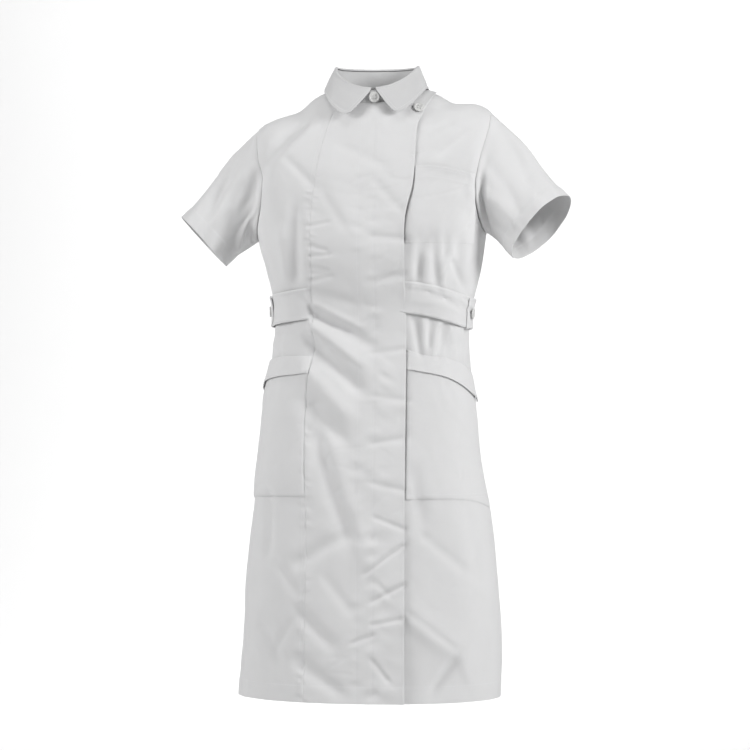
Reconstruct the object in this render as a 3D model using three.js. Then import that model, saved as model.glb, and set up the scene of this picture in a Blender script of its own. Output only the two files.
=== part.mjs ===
// Nurse uniform dress, filled out as when worn.
// Short sleeves, rounded collar on a stand, side closure, half belts and patch pockets.
// Millimetres, +Z up, the wearer faces -Y, +X is the wearer's left.
// The origin is the middle of the neck base, where the shoulders and neck hold the dress.
import * as THREE from 'three';

// Driving dimensions of the cloth and its seams
const CLOTH = 1.4;
const SEAM_GAP = 0.3;
const SEAM_HALF = 0.2;
const LAYER_GAP = 0.9;
const LAYER = CLOTH + LAYER_GAP;
const DEGREE = Math.PI / 180;
const FRONT_MIDDLE = 270 * DEGREE;
const ANGLE_STEP = 0.01;
const RISE_STEP = 2;
const TURN_STEP = 0.05;
const RISE_ACCURACY = 1e-6;

// Courses of the body, from hem to neck. rise is the cloth's length up from the hem.
// A course is one ring: it climbs from its front and back to its sides over the shoulders.
const COURSES = table(
  ['rise', 'sideZ', 'frontZ', 'backZ', 'halfWidth', 'frontDepth', 'backDepth', 'centreX', 'lift', 'square'],
  [
    [0, -994, -994, -994, 218, 148, 157, -13, 0, 2.15],
    [97, -897, -897, -897, 215, 146, 156, -9, 0, 2.15],
    [193, -801, -801, -801, 209, 142, 153, -9, 0, 2.2],
    [291, -703, -703, -703, 199, 137, 149, -9, 0, 2.25],
    [385, -609, -609, -609, 185, 131, 143, -13, 0, 2.3],
    [491, -503, -503, -503, 174, 120, 127, -12, 0, 2.3],
    [544, -450, -450, -450, 166, 114, 114, -11, 0, 2.3],
    [597, -397, -397, -397, 162, 110, 104, -9.5, 0, 2.3],
    [639, -355, -355, -355, 163, 113, 104, -7, 0, 2.3],
    [671, -323, -323, -323, 170, 121, 108, -6, 0, 2.35],
    [711, -283, -283, -283, 179, 129, 115, -6, 2, 2.4],
    [759, -235, -245, -240, 189, 130, 121, -8, 5, 2.4],
    [804, -190, -212, -205, 196, 126, 124, -8, 6, 2.45],
    [854, -140, -181, -172, 201, 120, 126, -6, 7, 2.45],
    [899, -95, -154, -140, 203, 114, 125, -5, 8, 2.45],
    [928, -62, -134, -114, 202, 109, 123, -3, 11, 2.4],
    [950, -42, -116, -92, 191.5, 103, 119, -3, 11.5, 2.35],
    [975, -29.5, -95, -66, 167.5, 95, 111, -2, 11, 2.3],
    [1008, -22, -70, -34, 130, 84, 97, -1, 5.5, 2.2],
    [1034, -5, -48, -10, 105, 76, 82, -1, 2, 2.1],
    [1050, 2.5, -34, 5, 88, 70, 72, 0, 0, 2.05],
    [1066, 4, -20, 17, 71, 62, 61, 0, 0, 2],
  ],
);
const HEM_RISE = 0;
const NECK_RISE = 1066;
const NECK_TURN_RISE = 1048;
const NECK_LEVELLING = 0.5;
const NECK_FOLD_FADE = 60;
const ARMPIT_RISE = 759;
const SHOULDER_TIP_RISE = 946;
const HEM_Z = -994;
const WAIST_RISE = 649;
const CENTRE_COLUMNS = 12;
const SIDE_COLUMNS = 7;
const BACK_COLUMNS = 18;

// Armhole: how far its edge bends to the front and back of the side, as angles round the body
const ARMHOLE_FRONT = 31 * DEGREE;
const ARMHOLE_BACK = 29 * DEGREE;
const ARMHOLE_STEPS = 9;

// Seams and edges that run up the front, by their distance from the neck's middle
const PRINCESS_SEAM = table(
  ['rise', 'x'],
  [
    [0, -103], [290, -100], [480, -103], [560, -92], [700, -92], [800, -93], [900, -88], [1000, -74],
    [1066, -52],
  ],
);
const CLOSURE_EDGE = table(
  ['rise', 'x'],
  [
    [0, 63], [400, 62], [740, 61], [800, 62], [840, 67], [880, 73], [920, 75.5], [1000, 77.5], [1016, 83],
    [1026, 89], [1034, 96], [1039, 102], [1066, 140],
  ],
);
const UNDERLAP_X = 3;
const UNDERLAP_SINK = 3.5;
const OVERLAP_RAMP = 0.45;
const EDGE_STAND_POWER = 6;
const CORNER_LIFT_POWER = 2;

// How far the closure edge stands off the cloth below it, by height
const EDGE_STAND = table(
  ['rise', 'out'],
  [
    [0, 2], [200, 1.5], [420, 1], [560, 3], [620, 1], [700, 2.5], [780, 5], [830, 4], [900, 1], [1000, 0.6],
    [1066, 0.4],
  ],
);

// Extra height of the overlap's top corner, where it crosses the shoulder
const CORNER_LIFT = table(['rise', 'out'], [[960, 0], [1018, 2.6], [1050, 2.8], [1066, 1.5]]);

// Largest folds of the front: the line each runs along, its half breadth and its depth
const FRONT_FOLDS = table(
  ['x0', 'z0', 'x1', 'z1', 'breadth', 'depth'],
  [
    [-190, -140, -128, -62, 13, -5],
    [-168, -120, -108, -70, 12, 3],
    [-120, -205, -118, -300, 11, -3.5],
    [-142, -245, -134, -320, 10, 2.5],
    [-82, -368, -10, -408, 11, -5],
    [-85, -390, -18, -445, 13, 4],
    [-88, -420, -22, -480, 12, -4.5],
    [-90, -470, -40, -520, 15, 4],
    [-92, -520, -48, -560, 13, -3.5],
    [-78, -575, -30, -715, 16, -5],
    [-58, -600, -8, -740, 18, 3.5],
    [-55, -735, -105, -765, 12, -3],
    [-98, -860, -66, -890, 12, -3],
    [-100, -935, -50, -970, 13, -3],
    [80, -640, 88, -690, 13, -3],
    [82, -860, 140, -910, 18, 3.5],
    [112, -970, 140, -925, 12, -3],
    [-168, -880, -150, -920, 14, -3.5],
    [-172, -670, -170, -745, 11, -3],
    [166, -700, 176, -780, 12, -3],
    [122, -395, 132, -440, 11, -3.5],
    [-60, -150, -20, -260, 26, 2],
  ],
);

// Gathers drawn in by the left belt: centre, height span and depth
const GATHERS = table(
  ['x', 'topZ', 'bottomZ', 'depth'],
  [
    [83, -250, -395, -2.6],
    [97, -262, -372, -2.2],
    [111, -246, -405, -2.8],
    [126, -240, -398, -2.9],
    [149, -255, -380, -2.5],
  ],
);
const GATHER_BREADTH = 5;
const UNDERLAP_PLACES = [UNDERLAP_X, 24, 44];
const GATHERS_FROM_X = 60;
const GATHERS_TO_X = 157;
const GATHER_COLUMNS = 13;
const LEFT_SIDE_COLUMNS = 3;

// Soft folds of the back, drawn in by the back belt and falling from the shoulder blades
const BACK_FOLDS = table(
  ['x0', 'z0', 'x1', 'z1', 'breadth', 'depth'],
  [
    [-96, -250, -84, -420, 14, -4],
    [-40, -270, -34, -430, 12, -3],
    [18, -280, 14, -425, 13, -3.5],
    [66, -260, 58, -430, 13, -3.5],
    [112, -240, 96, -415, 14, -4],
    [-150, -150, -95, -215, 15, -4],
    [146, -140, 92, -210, 15, -4],
    [-60, -700, -70, -960, 22, -4],
    [72, -640, 88, -950, 22, -4],
    [0, -620, 4, -900, 24, 3.5],
  ],
);

// Sleeves: cuff centre, its two half sizes and how the tube leaves the armhole
const SLEEVES = [
  { name: 'sleeve_right', side: -1, cuff: [-289, -20, -243], outHalf: 55, deepHalf: 53 },
  { name: 'sleeve_left', side: 1, cuff: [277, -50, -225], outHalf: 66, deepHalf: 50 },
];
const SLEEVE_STEPS = 7;
const SLEEVE_FULLNESS = 0.34;
const CAP_FULLNESS = 0.14;
const CAP_SPREAD = 2.4;
const CAP_RISE = 0.45;
const UNDERARM_SPREAD = 0.5;
const UNDERARM_GAP = 0.2;

// Collar: the stand's top edge, which is the fold line, and the free lower edge of the fall
const COLLAR_RING = ['halfWidth', 'front', 'back', 'sideZ', 'frontZ', 'backZ', 'climb', 'square'];
const [NECK_SEAM, FOLD_LINE, FALL_EDGE] = table(COLLAR_RING, [
  [71, 62, 61, 4, -20, 17, 2, 2],
  [67, 61, 66, 43, 2, 45, 1.38, 2],
  [85.5, 92, 87, 9, -45.5, 9, 1.6, 2.65],
]);
const FALL_SEAT = 1.2;
const STAND_TOP = 0.982;
const STAND_LAP = 9 * DEGREE;
const STAND_LAP_FROM = 270 * DEGREE;
const STAND_COLUMNS = 36;
const FOLD_RADIUS = 1.5;
const FOLD_STEPS = 4;
const FALL_STEPS = 6;
const FALL_COLUMNS = 28;
const FALL_MIDDLE_FROM = 0.065;
const FALL_TOP = { start: 269 * DEGREE, span: 353.5 * DEGREE };
const FALL_BOTTOM = { start: 250.5 * DEGREE, span: 317.5 * DEGREE };
const POINT_ROUND_ALONG = 0.024;
const POINT_ROUND_DOWN = 0.2;
const POINT_STEPS = 3;

// Patch pockets: heights of the mouth, of the turned band's free edge and of the bottom,
// from the front edge (part 0) to the side (part 1)
const HIP_POCKET_RIGHT = table(
  ['part', 'mouthZ', 'bandZ', 'bottomZ'],
  [[0, -434, -463, -662], [0.4, -435, -468, -663], [0.75, -442, -477, -666], [1, -456, -492, -670]],
);
const HIP_POCKET_LEFT = table(
  ['part', 'mouthZ', 'bandZ', 'bottomZ'],
  [
    [0, -424, -456, -666], [0.2, -434, -462, -666], [0.4, -436, -469, -667], [0.6, -443, -481, -670],
    [0.8, -453, -496, -676], [1, -464, -510, -684],
  ],
);
const CHEST_POCKET = table(
  ['part', 'mouthZ', 'bottomZ'],
  [[0, -126, -252], [0.35, -126.5, -252], [0.7, -132, -252], [1, -138, -252]],
);
const CHEST_POCKET_SIDE_X = 168;
const POCKET_OUT = 2.8;
const BAND_OUT = POCKET_OUT + CLOTH + LAYER_GAP;
const POCKET_SEAM_INSET = 1.2;
const POCKET_CLOSURE_GAP = 0.8;
const CHEST_POCKET_GAP = 1.5;
const CHEST_POCKET_COLUMNS = 8;
const CHEST_POCKET_ROWS = 6;
const HIP_POCKET_ROWS = 8;
const BAND_ROWS = 2;
const RIGHT_POCKET_COLUMNS = 8;
const LEFT_POCKET_COLUMNS = 12;

// Belts: the height of their middle by angle round the waist, and half of their breadth
const BELT_MIDDLE = table(
  ['angle', 'z'],
  [
    [-20, -364], [0, -363], [90, -369], [180, -361], [238, -349], [265, -340], [295, -340], [340, -360],
    [380, -364],
  ],
);
const BELT_GAP_FROM = 239;
const BELT_GAP_TO = 293;
const BELT_PRESS = 38;
const BELT_HALF = 25.5;
const BELT_OUT = 3.2;
const BELT_TAB_END = 16 * DEGREE;
const BACK_BELT_END = 15 * DEGREE;
const BELT_SLACK = 3;
const TAB_FREE_PART = 0.58;
const BACK_BELT_SLACK = 1.5;
const TAB_SEAM_INSET = 0.8;
const TAB_CLOSURE_GAP = 3.4;
const RIGHT_TAB_COLUMNS = 9;
const LEFT_TAB_COLUMNS = 12;
const BACK_BELT_COLUMNS = 26;
const BELT_ROWS = 2;
const BELT_BUTTON_ANGLE = 7 * DEGREE;

// Buttons
const BUTTON_RADIUS = 9;
const BUTTON_THICK = 2.4;
const BUTTON_SIDES = 20;
const BUTTON_HOLE_RADIUS = 1.1;
const BUTTON_HOLE_PLACE = 2.3;
const BUTTON_HOLE_SIDES = 6;
const BUTTON_GAP = 1.2;
const COLLAR_BUTTON_ANGLE = 273.3 * DEGREE;
const COLLAR_BUTTON_HEIGHT = 0.42;
const CORNER_BUTTON_X = 76.5;
const CORNER_BUTTON_Z = -30;

// Colours and finish
const WHITE_CLOTH = new THREE.MeshStandardMaterial({ color: 0xe4e5e6, roughness: 0.86, metalness: 0 });
const WHITE_BUTTON = new THREE.MeshStandardMaterial({ color: 0xe9e8e4, roughness: 0.38, metalness: 0 });

// Turns rows of numbers into rows with named columns.
function table(names, rows) {
  return rows.map((row) => Object.fromEntries(names.map((name, index) => [name, row[index]])));
}

// Reads a smooth curve through one column of a table at a place along its key column.
function readCurve(rows, key, column, place) {
  const last = rows.length - 1;
  const at = Math.min(Math.max(place, rows[0][key]), rows[last][key]);
  let low = 0;
  while (low < last - 1 && rows[low + 1][key] < at) {
    low += 1;
  }
  const slope = (index) => {
    const before = rows[Math.max(index - 1, 0)];
    const after = rows[Math.min(index + 1, last)];
    return (after[column] - before[column]) / (after[key] - before[key]);
  };
  const span = rows[low + 1][key] - rows[low][key];
  const t = (at - rows[low][key]) / span;
  const start = rows[low][column];
  const end = rows[low + 1][column];
  const rise = end - start;
  const bendA = slope(low) * span - rise;
  const bendB = rise - slope(low + 1) * span;
  return start + t * rise + t * (1 - t) * ((1 - t) * bendA + t * bendB);
}

// The ring of the body at one rise.
function courseAt(rise) {
  const read = (column) => readCurve(COURSES, 'rise', column, rise);
  return {
    sideZ: read('sideZ'),
    frontZ: read('frontZ'),
    backZ: read('backZ'),
    halfWidth: read('halfWidth'),
    frontDepth: read('frontDepth'),
    backDepth: read('backDepth'),
    centreX: read('centreX'),
    lift: read('lift'),
    square: read('square'),
  };
}

// A point on the body without folds. Angles run from the left side over the back: 270 degrees is the front.
function bodyPoint(angle, rise) {
  const ring = courseAt(rise);
  const cosine = Math.cos(angle);
  const sine = Math.sin(angle);
  const power = 2 / ring.square;
  const across = Math.sign(cosine) * Math.abs(cosine) ** power;
  const deep = Math.sign(sine) * Math.abs(sine) ** power;
  const depth = sine < 0 ? ring.frontDepth : ring.backDepth;
  const endZ = sine < 0 ? ring.frontZ : ring.backZ;
  return new THREE.Vector3(
    ring.centreX + ring.halfWidth * across,
    depth * deep,
    ring.sideZ + (endZ - ring.sideZ) * sine * sine + ring.lift * across,
  );
}

// Outward direction of the unfolded body.
function bodyNormal(angle, rise) {
  const round = bodyPoint(angle + ANGLE_STEP, rise).sub(bodyPoint(angle - ANGLE_STEP, rise));
  const up = bodyPoint(angle, Math.min(rise + RISE_STEP, NECK_RISE));
  up.sub(bodyPoint(angle, Math.max(rise - RISE_STEP, HEM_RISE)));
  const level = Math.max(0, (rise - NECK_TURN_RISE) / (NECK_RISE - NECK_TURN_RISE));
  return round.cross(up).normalize().lerp(neckOutward(angle), level * NECK_LEVELLING).normalize();
}

// How far one straight soft fold moves a point of the front or back view.
function foldDepth(fold, x, z) {
  const runX = fold.x1 - fold.x0;
  const runZ = fold.z1 - fold.z0;
  const length = Math.hypot(runX, runZ);
  const along = ((x - fold.x0) * runX + (z - fold.z0) * runZ) / length;
  const off = Math.abs((x - fold.x0) * runZ - (z - fold.z0) * runX) / length;
  const past = Math.max(-along, along - length, 0);
  return fold.depth * Math.exp(-((off / fold.breadth) ** 2)) * Math.exp(-((past / (2 * fold.breadth)) ** 2));
}

// How far one gather moves a point of the front view.
function gatherDepth(gather, x, z) {
  const middle = (gather.topZ + gather.bottomZ) / 2;
  const half = (gather.topZ - gather.bottomZ) / 2;
  const fade = Math.exp(-(((z - middle) / half) ** 4));
  return gather.depth * fade * Math.exp(-(((x - gather.x) / GATHER_BREADTH) ** 2));
}

// Share of the folds that is left at a place: the belts press them flat.
function underBelt(angle, point) {
  const turn = ((angle / DEGREE) + 360) % 360;
  if (turn > BELT_GAP_FROM && turn < BELT_GAP_TO) {
    return 1;
  }
  const middle = readCurve(BELT_MIDDLE, 'angle', 'z', turn);
  return 1 - Math.exp(-(((point.z - middle) / BELT_PRESS) ** 4));
}

// Sum of all folds at a place of the body.
function foldsAt(angle, point) {
  const sum = (total, value) => total + value;
  const press = underBelt(angle, point);
  if (Math.sin(angle) > 0) {
    return press * BACK_FOLDS.map((fold) => foldDepth(fold, point.x, point.z)).reduce(sum, 0);
  }
  const folds = FRONT_FOLDS.map((fold) => foldDepth(fold, point.x, point.z)).reduce(sum, 0);
  const gathers = GATHERS.map((gather) => gatherDepth(gather, point.x, point.z)).reduce(sum, 0);
  return press * (folds + gathers);
}

// A point of the cloth with its folds, moved out by some distance.
function clothPoint(angle, rise, out) {
  const point = bodyPoint(angle, rise);
  const sideFade = Math.sin(angle) ** 2;
  const rootFade = Math.min(1, (NECK_RISE - rise) / NECK_FOLD_FADE);
  const move = out + foldsAt(angle, point) * sideFade * rootFade;
  return point.addScaledVector(bodyNormal(angle, rise), move);
}

// Angle on the front where a course crosses a distance from the middle.
function frontAngle(x, rise) {
  const ring = courseAt(rise);
  const part = Math.max(-1, Math.min(1, (x - ring.centreX) / ring.halfWidth));
  const cosine = Math.sign(part) * Math.abs(part) ** (ring.square / 2);
  return 2 * Math.PI - Math.acos(cosine);
}

// Rise on the front of a place given by its distance from the middle and its height.
function frontRise(x, z) {
  let low = HEM_RISE;
  let high = NECK_RISE;
  while (high - low > RISE_ACCURACY) {
    const middle = (low + high) / 2;
    if (bodyPoint(frontAngle(x, middle), middle).z < z) {
      low = middle;
    } else {
      high = middle;
    }
  }
  return (low + high) / 2;
}

// Closed wall between an outer and an inner grid of points. round closes it across its columns.
function wall(outer, inner, round = false) {
  const rows = outer.length;
  const columns = outer[0].length;
  const points = [...outer.flat(), ...inner.flat()];
  const behind = rows * columns;
  const index = [];
  const at = (row, column) => row * columns + (column % columns);
  const quad = (a, b, c, d) => {
    if (points[a].distanceTo(points[c]) <= points[b].distanceTo(points[d])) {
      index.push(a, b, c, a, c, d);
    } else {
      index.push(a, b, d, b, c, d);
    }
  };
  const lastColumn = round ? columns : columns - 1;
  for (let row = 0; row < rows - 1; row += 1) {
    for (let column = 0; column < lastColumn; column += 1) {
      const corners = [at(row, column), at(row, column + 1), at(row + 1, column + 1), at(row + 1, column)];
      quad(...corners);
      quad(...corners.map((corner) => corner + behind).reverse());
    }
  }
  for (let column = 0; column < lastColumn; column += 1) {
    const low = [at(0, column), at(0, column + 1)];
    const high = [at(rows - 1, column), at(rows - 1, column + 1)];
    quad(low[0] + behind, low[1] + behind, low[1], low[0]);
    quad(high[0], high[1], high[1] + behind, high[0] + behind);
  }
  if (!round) {
    for (let row = 0; row < rows - 1; row += 1) {
      const first = [at(row, 0), at(row + 1, 0)];
      const end = [at(row, columns - 1), at(row + 1, columns - 1)];
      quad(first[0], first[1], first[1] + behind, first[0] + behind);
      quad(end[0] + behind, end[1] + behind, end[1], end[0]);
    }
  }
  const geometry = new THREE.BufferGeometry();
  const numbers = points.flatMap((point) => point.toArray());
  geometry.setAttribute('position', new THREE.Float32BufferAttribute(numbers, 3));
  geometry.setIndex(index);
  geometry.computeVertexNormals();
  return geometry;
}

// A wall that lies on the body. spot gives angle, rise and out for each column and row.
function bodyWall(columns, rows, spot) {
  const spots = rows.map((row) => columns.map((column) => spot(column, row)));
  const turned = spots[0][0].angle > spots[0][columns.length - 1].angle;
  const ordered = turned ? spots.map((row) => [...row].reverse()) : spots;
  const grid = (depth) => ordered.map((row) => row.map(({ angle, rise, out }) => (
    clothPoint(angle, rise, out - depth)
  )));
  return wall(grid(0), grid(CLOTH));
}

// Evenly spaced numbers from a first to a last.
function spread(first, last, steps) {
  return Array.from({ length: steps + 1 }, (_, step) => first + ((last - first) * step) / steps);
}

const mix = (from, to, part) => from + (to - from) * part;

// Soft step from 0 to 1.
function smooth(share) {
  const part = Math.min(1, Math.max(0, share));
  return part * part * (3 - 2 * part);
}

// Moves an angle along its course by a distance.
function offSeam(angle, rise, distance) {
  const ahead = bodyPoint(angle + ANGLE_STEP, rise);
  const speed = ahead.distanceTo(bodyPoint(angle - ANGLE_STEP, rise)) / (2 * ANGLE_STEP);
  return angle + distance / speed;
}

// Share of the armhole's bend at one rise: none below the armpit and past the shoulder tip.
function armholeBend(rise) {
  const middle = (ARMPIT_RISE + SHOULDER_TIP_RISE) / 2;
  const part = (rise - middle) / (SHOULDER_TIP_RISE - middle);
  return Math.sqrt(Math.max(0, 1 - part * part));
}

const leftFrontEdge = (rise) => offSeam(2 * Math.PI - ARMHOLE_FRONT * armholeBend(rise), rise, -SEAM_HALF);
const rightFrontEdge = (rise) => offSeam(Math.PI + ARMHOLE_FRONT * armholeBend(rise), rise, SEAM_HALF);
const leftBackEdge = (rise) => offSeam(ARMHOLE_BACK * armholeBend(rise), rise, SEAM_HALF);
const rightBackEdge = (rise) => offSeam(Math.PI - ARMHOLE_BACK * armholeBend(rise), rise, -SEAM_HALF);
const princessAngle = (rise) => frontAngle(readCurve(PRINCESS_SEAM, 'rise', 'x', rise), rise);
const closureAngle = (rise) => {
  const seam = leftFrontEdge(rise);
  return Math.min(frontAngle(readCurve(CLOSURE_EDGE, 'rise', 'x', rise), rise), seam);
};

// Rises shared by all the body panels, so that their seams match
const ARMHOLE_RISES = spread(0, Math.PI, ARMHOLE_STEPS).map((turn) => (
  mix(ARMPIT_RISE, SHOULDER_TIP_RISE, (1 - Math.cos(turn)) / 2)
));
const BODY_RISES = [
  ...[0, 45, 95, 145, 195, 245, 290, 335, 380, 425, 465, 500, 532, 562, 590, 616, 641, 665, 690, 714, 738],
  ...ARMHOLE_RISES,
  ...[968, 990, 1008, 1020, 1028, 1034, 1039, 1051, NECK_RISE],
];

// How far the overlapping front stands out: nothing at the princess seam, a layer over the underlap
function overlapOut(angle, rise) {
  const from = princessAngle(rise);
  const to = closureAngle(rise);
  const part = Math.min(1, Math.max(0, (angle - from) / (to - from)));
  const stand = readCurve(EDGE_STAND, 'rise', 'out', rise) * part ** EDGE_STAND_POWER;
  const layer = LAYER + readCurve(CORNER_LIFT, 'rise', 'out', rise) * part ** CORNER_LIFT_POWER;
  return layer * smooth(part / OVERLAP_RAMP) + stand;
}

// Front panel over the middle: from the princess seam to the closure edge
function frontRightCentre() {
  return bodyWall(spread(0, 1, CENTRE_COLUMNS), BODY_RISES, (column, rise) => {
    const from = offSeam(princessAngle(rise), rise, SEAM_HALF);
    const angle = mix(from, closureAngle(rise), column);
    return { angle, rise, out: overlapOut(angle, rise) };
  });
}

// Side panel of the right front: from the side seam and armhole to the princess seam
function frontRightSide() {
  return bodyWall(spread(0, 1, SIDE_COLUMNS), BODY_RISES, (column, rise) => {
    const to = offSeam(princessAngle(rise), rise, -SEAM_HALF);
    return { angle: mix(rightFrontEdge(rise), to, column), rise, out: 0 };
  });
}

// Left front: its underlap passes below the closure, and its columns follow the gathers
function frontLeft() {
  const start = frontAngle(UNDERLAP_X, WAIST_RISE);
  const end = leftFrontEdge(WAIST_RISE);
  const share = (x) => (frontAngle(x, WAIST_RISE) - start) / (end - start);
  const columns = [...UNDERLAP_PLACES, ...spread(GATHERS_FROM_X, GATHERS_TO_X, GATHER_COLUMNS)].map(share);
  const sideColumns = spread(share(GATHERS_TO_X), 1, LEFT_SIDE_COLUMNS).slice(1);
  const sinkEnd = share(GATHERS_FROM_X);
  return bodyWall([...columns, ...sideColumns], BODY_RISES, (column, rise) => ({
    angle: mix(frontAngle(UNDERLAP_X, rise), leftFrontEdge(rise), column),
    rise,
    out: -UNDERLAP_SINK * Math.max(0, 1 - column / sinkEnd),
  }));
}

// Back: one panel between the side seams, armholes and shoulder seams
function back() {
  return bodyWall(spread(0, 1, BACK_COLUMNS), BODY_RISES, (column, rise) => ({
    angle: mix(leftBackEdge(rise), rightBackEdge(rise), column),
    rise,
    out: 0,
  }));
}

// Ring of the armhole on one side, from the shoulder tip over the front and round the back.
// Each place has the body's outer point, its outward direction and the direction across the seam.
function armholeRing(side) {
  const turns = spread(0, 2 * Math.PI, 2 * ARMHOLE_STEPS).slice(0, -1);
  const spot = (turn) => {
    const rise = mix(SHOULDER_TIP_RISE, ARMPIT_RISE, (1 - Math.cos(turn)) / 2);
    const bend = Math.sin(turn) > 0 ? ARMHOLE_FRONT * Math.sin(turn) : ARMHOLE_BACK * Math.sin(turn);
    const angle = side > 0 ? -bend : Math.PI + bend;
    return { rise, angle: (angle + 2 * Math.PI) % (2 * Math.PI) };
  };
  return turns.map((turn) => {
    const { rise, angle } = spot(turn);
    const before = spot(turn - TURN_STEP);
    const after = spot(turn + TURN_STEP);
    const along = clothPoint(after.angle, after.rise, 0).sub(clothPoint(before.angle, before.rise, 0));
    const normal = bodyNormal(angle, rise);
    const across = new THREE.Vector3().crossVectors(along, normal).normalize().multiplyScalar(-side);
    return { turn, point: clothPoint(angle, rise, 0), normal, across };
  });
}

// Sleeve: a tube from the armhole to the cuff, full at its cap
function sleeve({ side, cuff, outHalf, deepHalf }) {
  const ring = armholeRing(side);
  const root = ring.reduce((sum, place) => sum.add(place.point), new THREE.Vector3());
  root.divideScalar(ring.length);
  const end = new THREE.Vector3(...cuff);
  const axis = end.clone().sub(root).normalize();
  const forward = new THREE.Vector3(0, -1, 0).addScaledVector(axis, axis.y).normalize();
  const upward = new THREE.Vector3().crossVectors(axis, forward).multiplyScalar(-side).normalize();
  const paths = ring.map(({ turn, point, normal, across }) => {
    const start = point.clone().addScaledVector(across, SEAM_GAP + UNDERARM_GAP * (1 - Math.cos(turn)));
    const finish = end.clone().addScaledVector(upward, outHalf * Math.cos(turn));
    finish.addScaledVector(forward, deepHalf * Math.sin(turn));
    const length = start.distanceTo(finish);
    const top = (1 + Math.cos(turn)) / 2;
    const leave = axis.clone().addScaledVector(across, CAP_SPREAD * top);
    leave.addScaledVector(normal, mix(UNDERARM_SPREAD, CAP_RISE, top)).normalize();
    const near = start.clone().addScaledVector(leave, length * (SLEEVE_FULLNESS + CAP_FULLNESS * top));
    const far = finish.clone().addScaledVector(axis, -length * SLEEVE_FULLNESS);
    return new THREE.CubicBezierCurve3(start, near, far, finish);
  });
  const outer = spread(0, 1, SLEEVE_STEPS).map((part) => paths.map((path) => path.getPoint(part)));
  const inner = outer.map((places, step) => places.map((place, index) => {
    if (step === 0) {
      return place.clone().addScaledVector(ring[index].normal, -CLOTH);
    }
    const round = places[(index + 1) % places.length].clone();
    round.sub(places[(index + places.length - 1) % places.length]);
    const down = paths[index].getTangent(step / SLEEVE_STEPS);
    const outward = round.cross(down).normalize().multiplyScalar(side);
    return place.clone().addScaledVector(outward, -CLOTH);
  }));
  const order = (grid) => (side > 0 ? grid : grid.map((places) => [...places].reverse()));
  return wall(order(outer), order(inner), true);
}

// A point on one of the collar's rings.
function collarPoint(ring, angle) {
  const sine = Math.sin(angle);
  const depth = sine < 0 ? ring.front : ring.back;
  const endZ = sine < 0 ? ring.frontZ : ring.backZ;
  const climb = Math.abs(sine) ** ring.climb;
  const power = 2 / ring.square;
  const across = Math.sign(Math.cos(angle)) * Math.abs(Math.cos(angle)) ** power;
  const deep = Math.sign(sine) * Math.abs(sine) ** power;
  return new THREE.Vector3(ring.halfWidth * across, depth * deep, mix(ring.sideZ, endZ, climb));
}

// Level outward direction of the neck at an angle.
function neckOutward(angle) {
  const { halfWidth, front } = FOLD_LINE;
  return new THREE.Vector3(Math.cos(angle) / halfWidth, Math.sin(angle) / front, 0).normalize();
}

// How far the stand's lapped end lies outside the other end.
function standLap(turn) {
  return LAYER * smooth((turn - STAND_LAP_FROM) / (2 * Math.PI - STAND_LAP_FROM));
}

// Foot of the stand: just above the highest cloth at the neck seam.
function standFoot(angle) {
  const foot = collarPoint(NECK_SEAM, angle);
  const turn = (angle + 2 * Math.PI) % (2 * Math.PI);
  const overlapped = turn > princessAngle(NECK_RISE) && turn < closureAngle(NECK_RISE);
  const out = overlapped ? overlapOut(turn, NECK_RISE) : 0;
  foot.z = clothPoint(turn, NECK_RISE, out).z + SEAM_GAP;
  return foot;
}

// Collar stand: a band round the neck whose right end laps over its left end at the front
function collarStand() {
  const turns = spread(-STAND_LAP, 2 * Math.PI + STAND_LAP, STAND_COLUMNS);
  const grid = (depth) => [0, STAND_TOP / 2, STAND_TOP].map((height) => turns.map((turn) => {
    const angle = FRONT_MIDDLE - turn;
    const high = collarPoint(FOLD_LINE, angle);
    const out = standLap(2 * Math.PI - turn) - depth;
    return standFoot(angle).lerp(high, height).addScaledVector(neckOutward(angle), out);
  }));
  const flip = (rows) => rows.map((row) => [...row].reverse());
  return wall(flip(grid(0)), flip(grid(CLOTH)));
}

// Thin wall behind a grid of visible points.
function shell(grid) {
  const lastRow = grid.length - 1;
  const lastColumn = grid[0].length - 1;
  const pick = (row, column) => (
    grid[Math.min(Math.max(row, 0), lastRow)][Math.min(Math.max(column, 0), lastColumn)]
  );
  const inner = grid.map((points, row) => points.map((point, column) => {
    const across = pick(row, column + 1).clone().sub(pick(row, column - 1));
    const along = pick(row + 1, column).clone().sub(pick(row - 1, column));
    return point.clone().addScaledVector(across.cross(along).normalize(), -CLOTH);
  }));
  return wall(grid, inner);
}

// Rounds one corner of a patch: takes shares from 0 to 1 on the way into the corner.
function roundCorner(across, along) {
  const reach = Math.hypot(across, along);
  return reach > 0 ? Math.max(across, along) / reach : 1;
}

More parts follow.
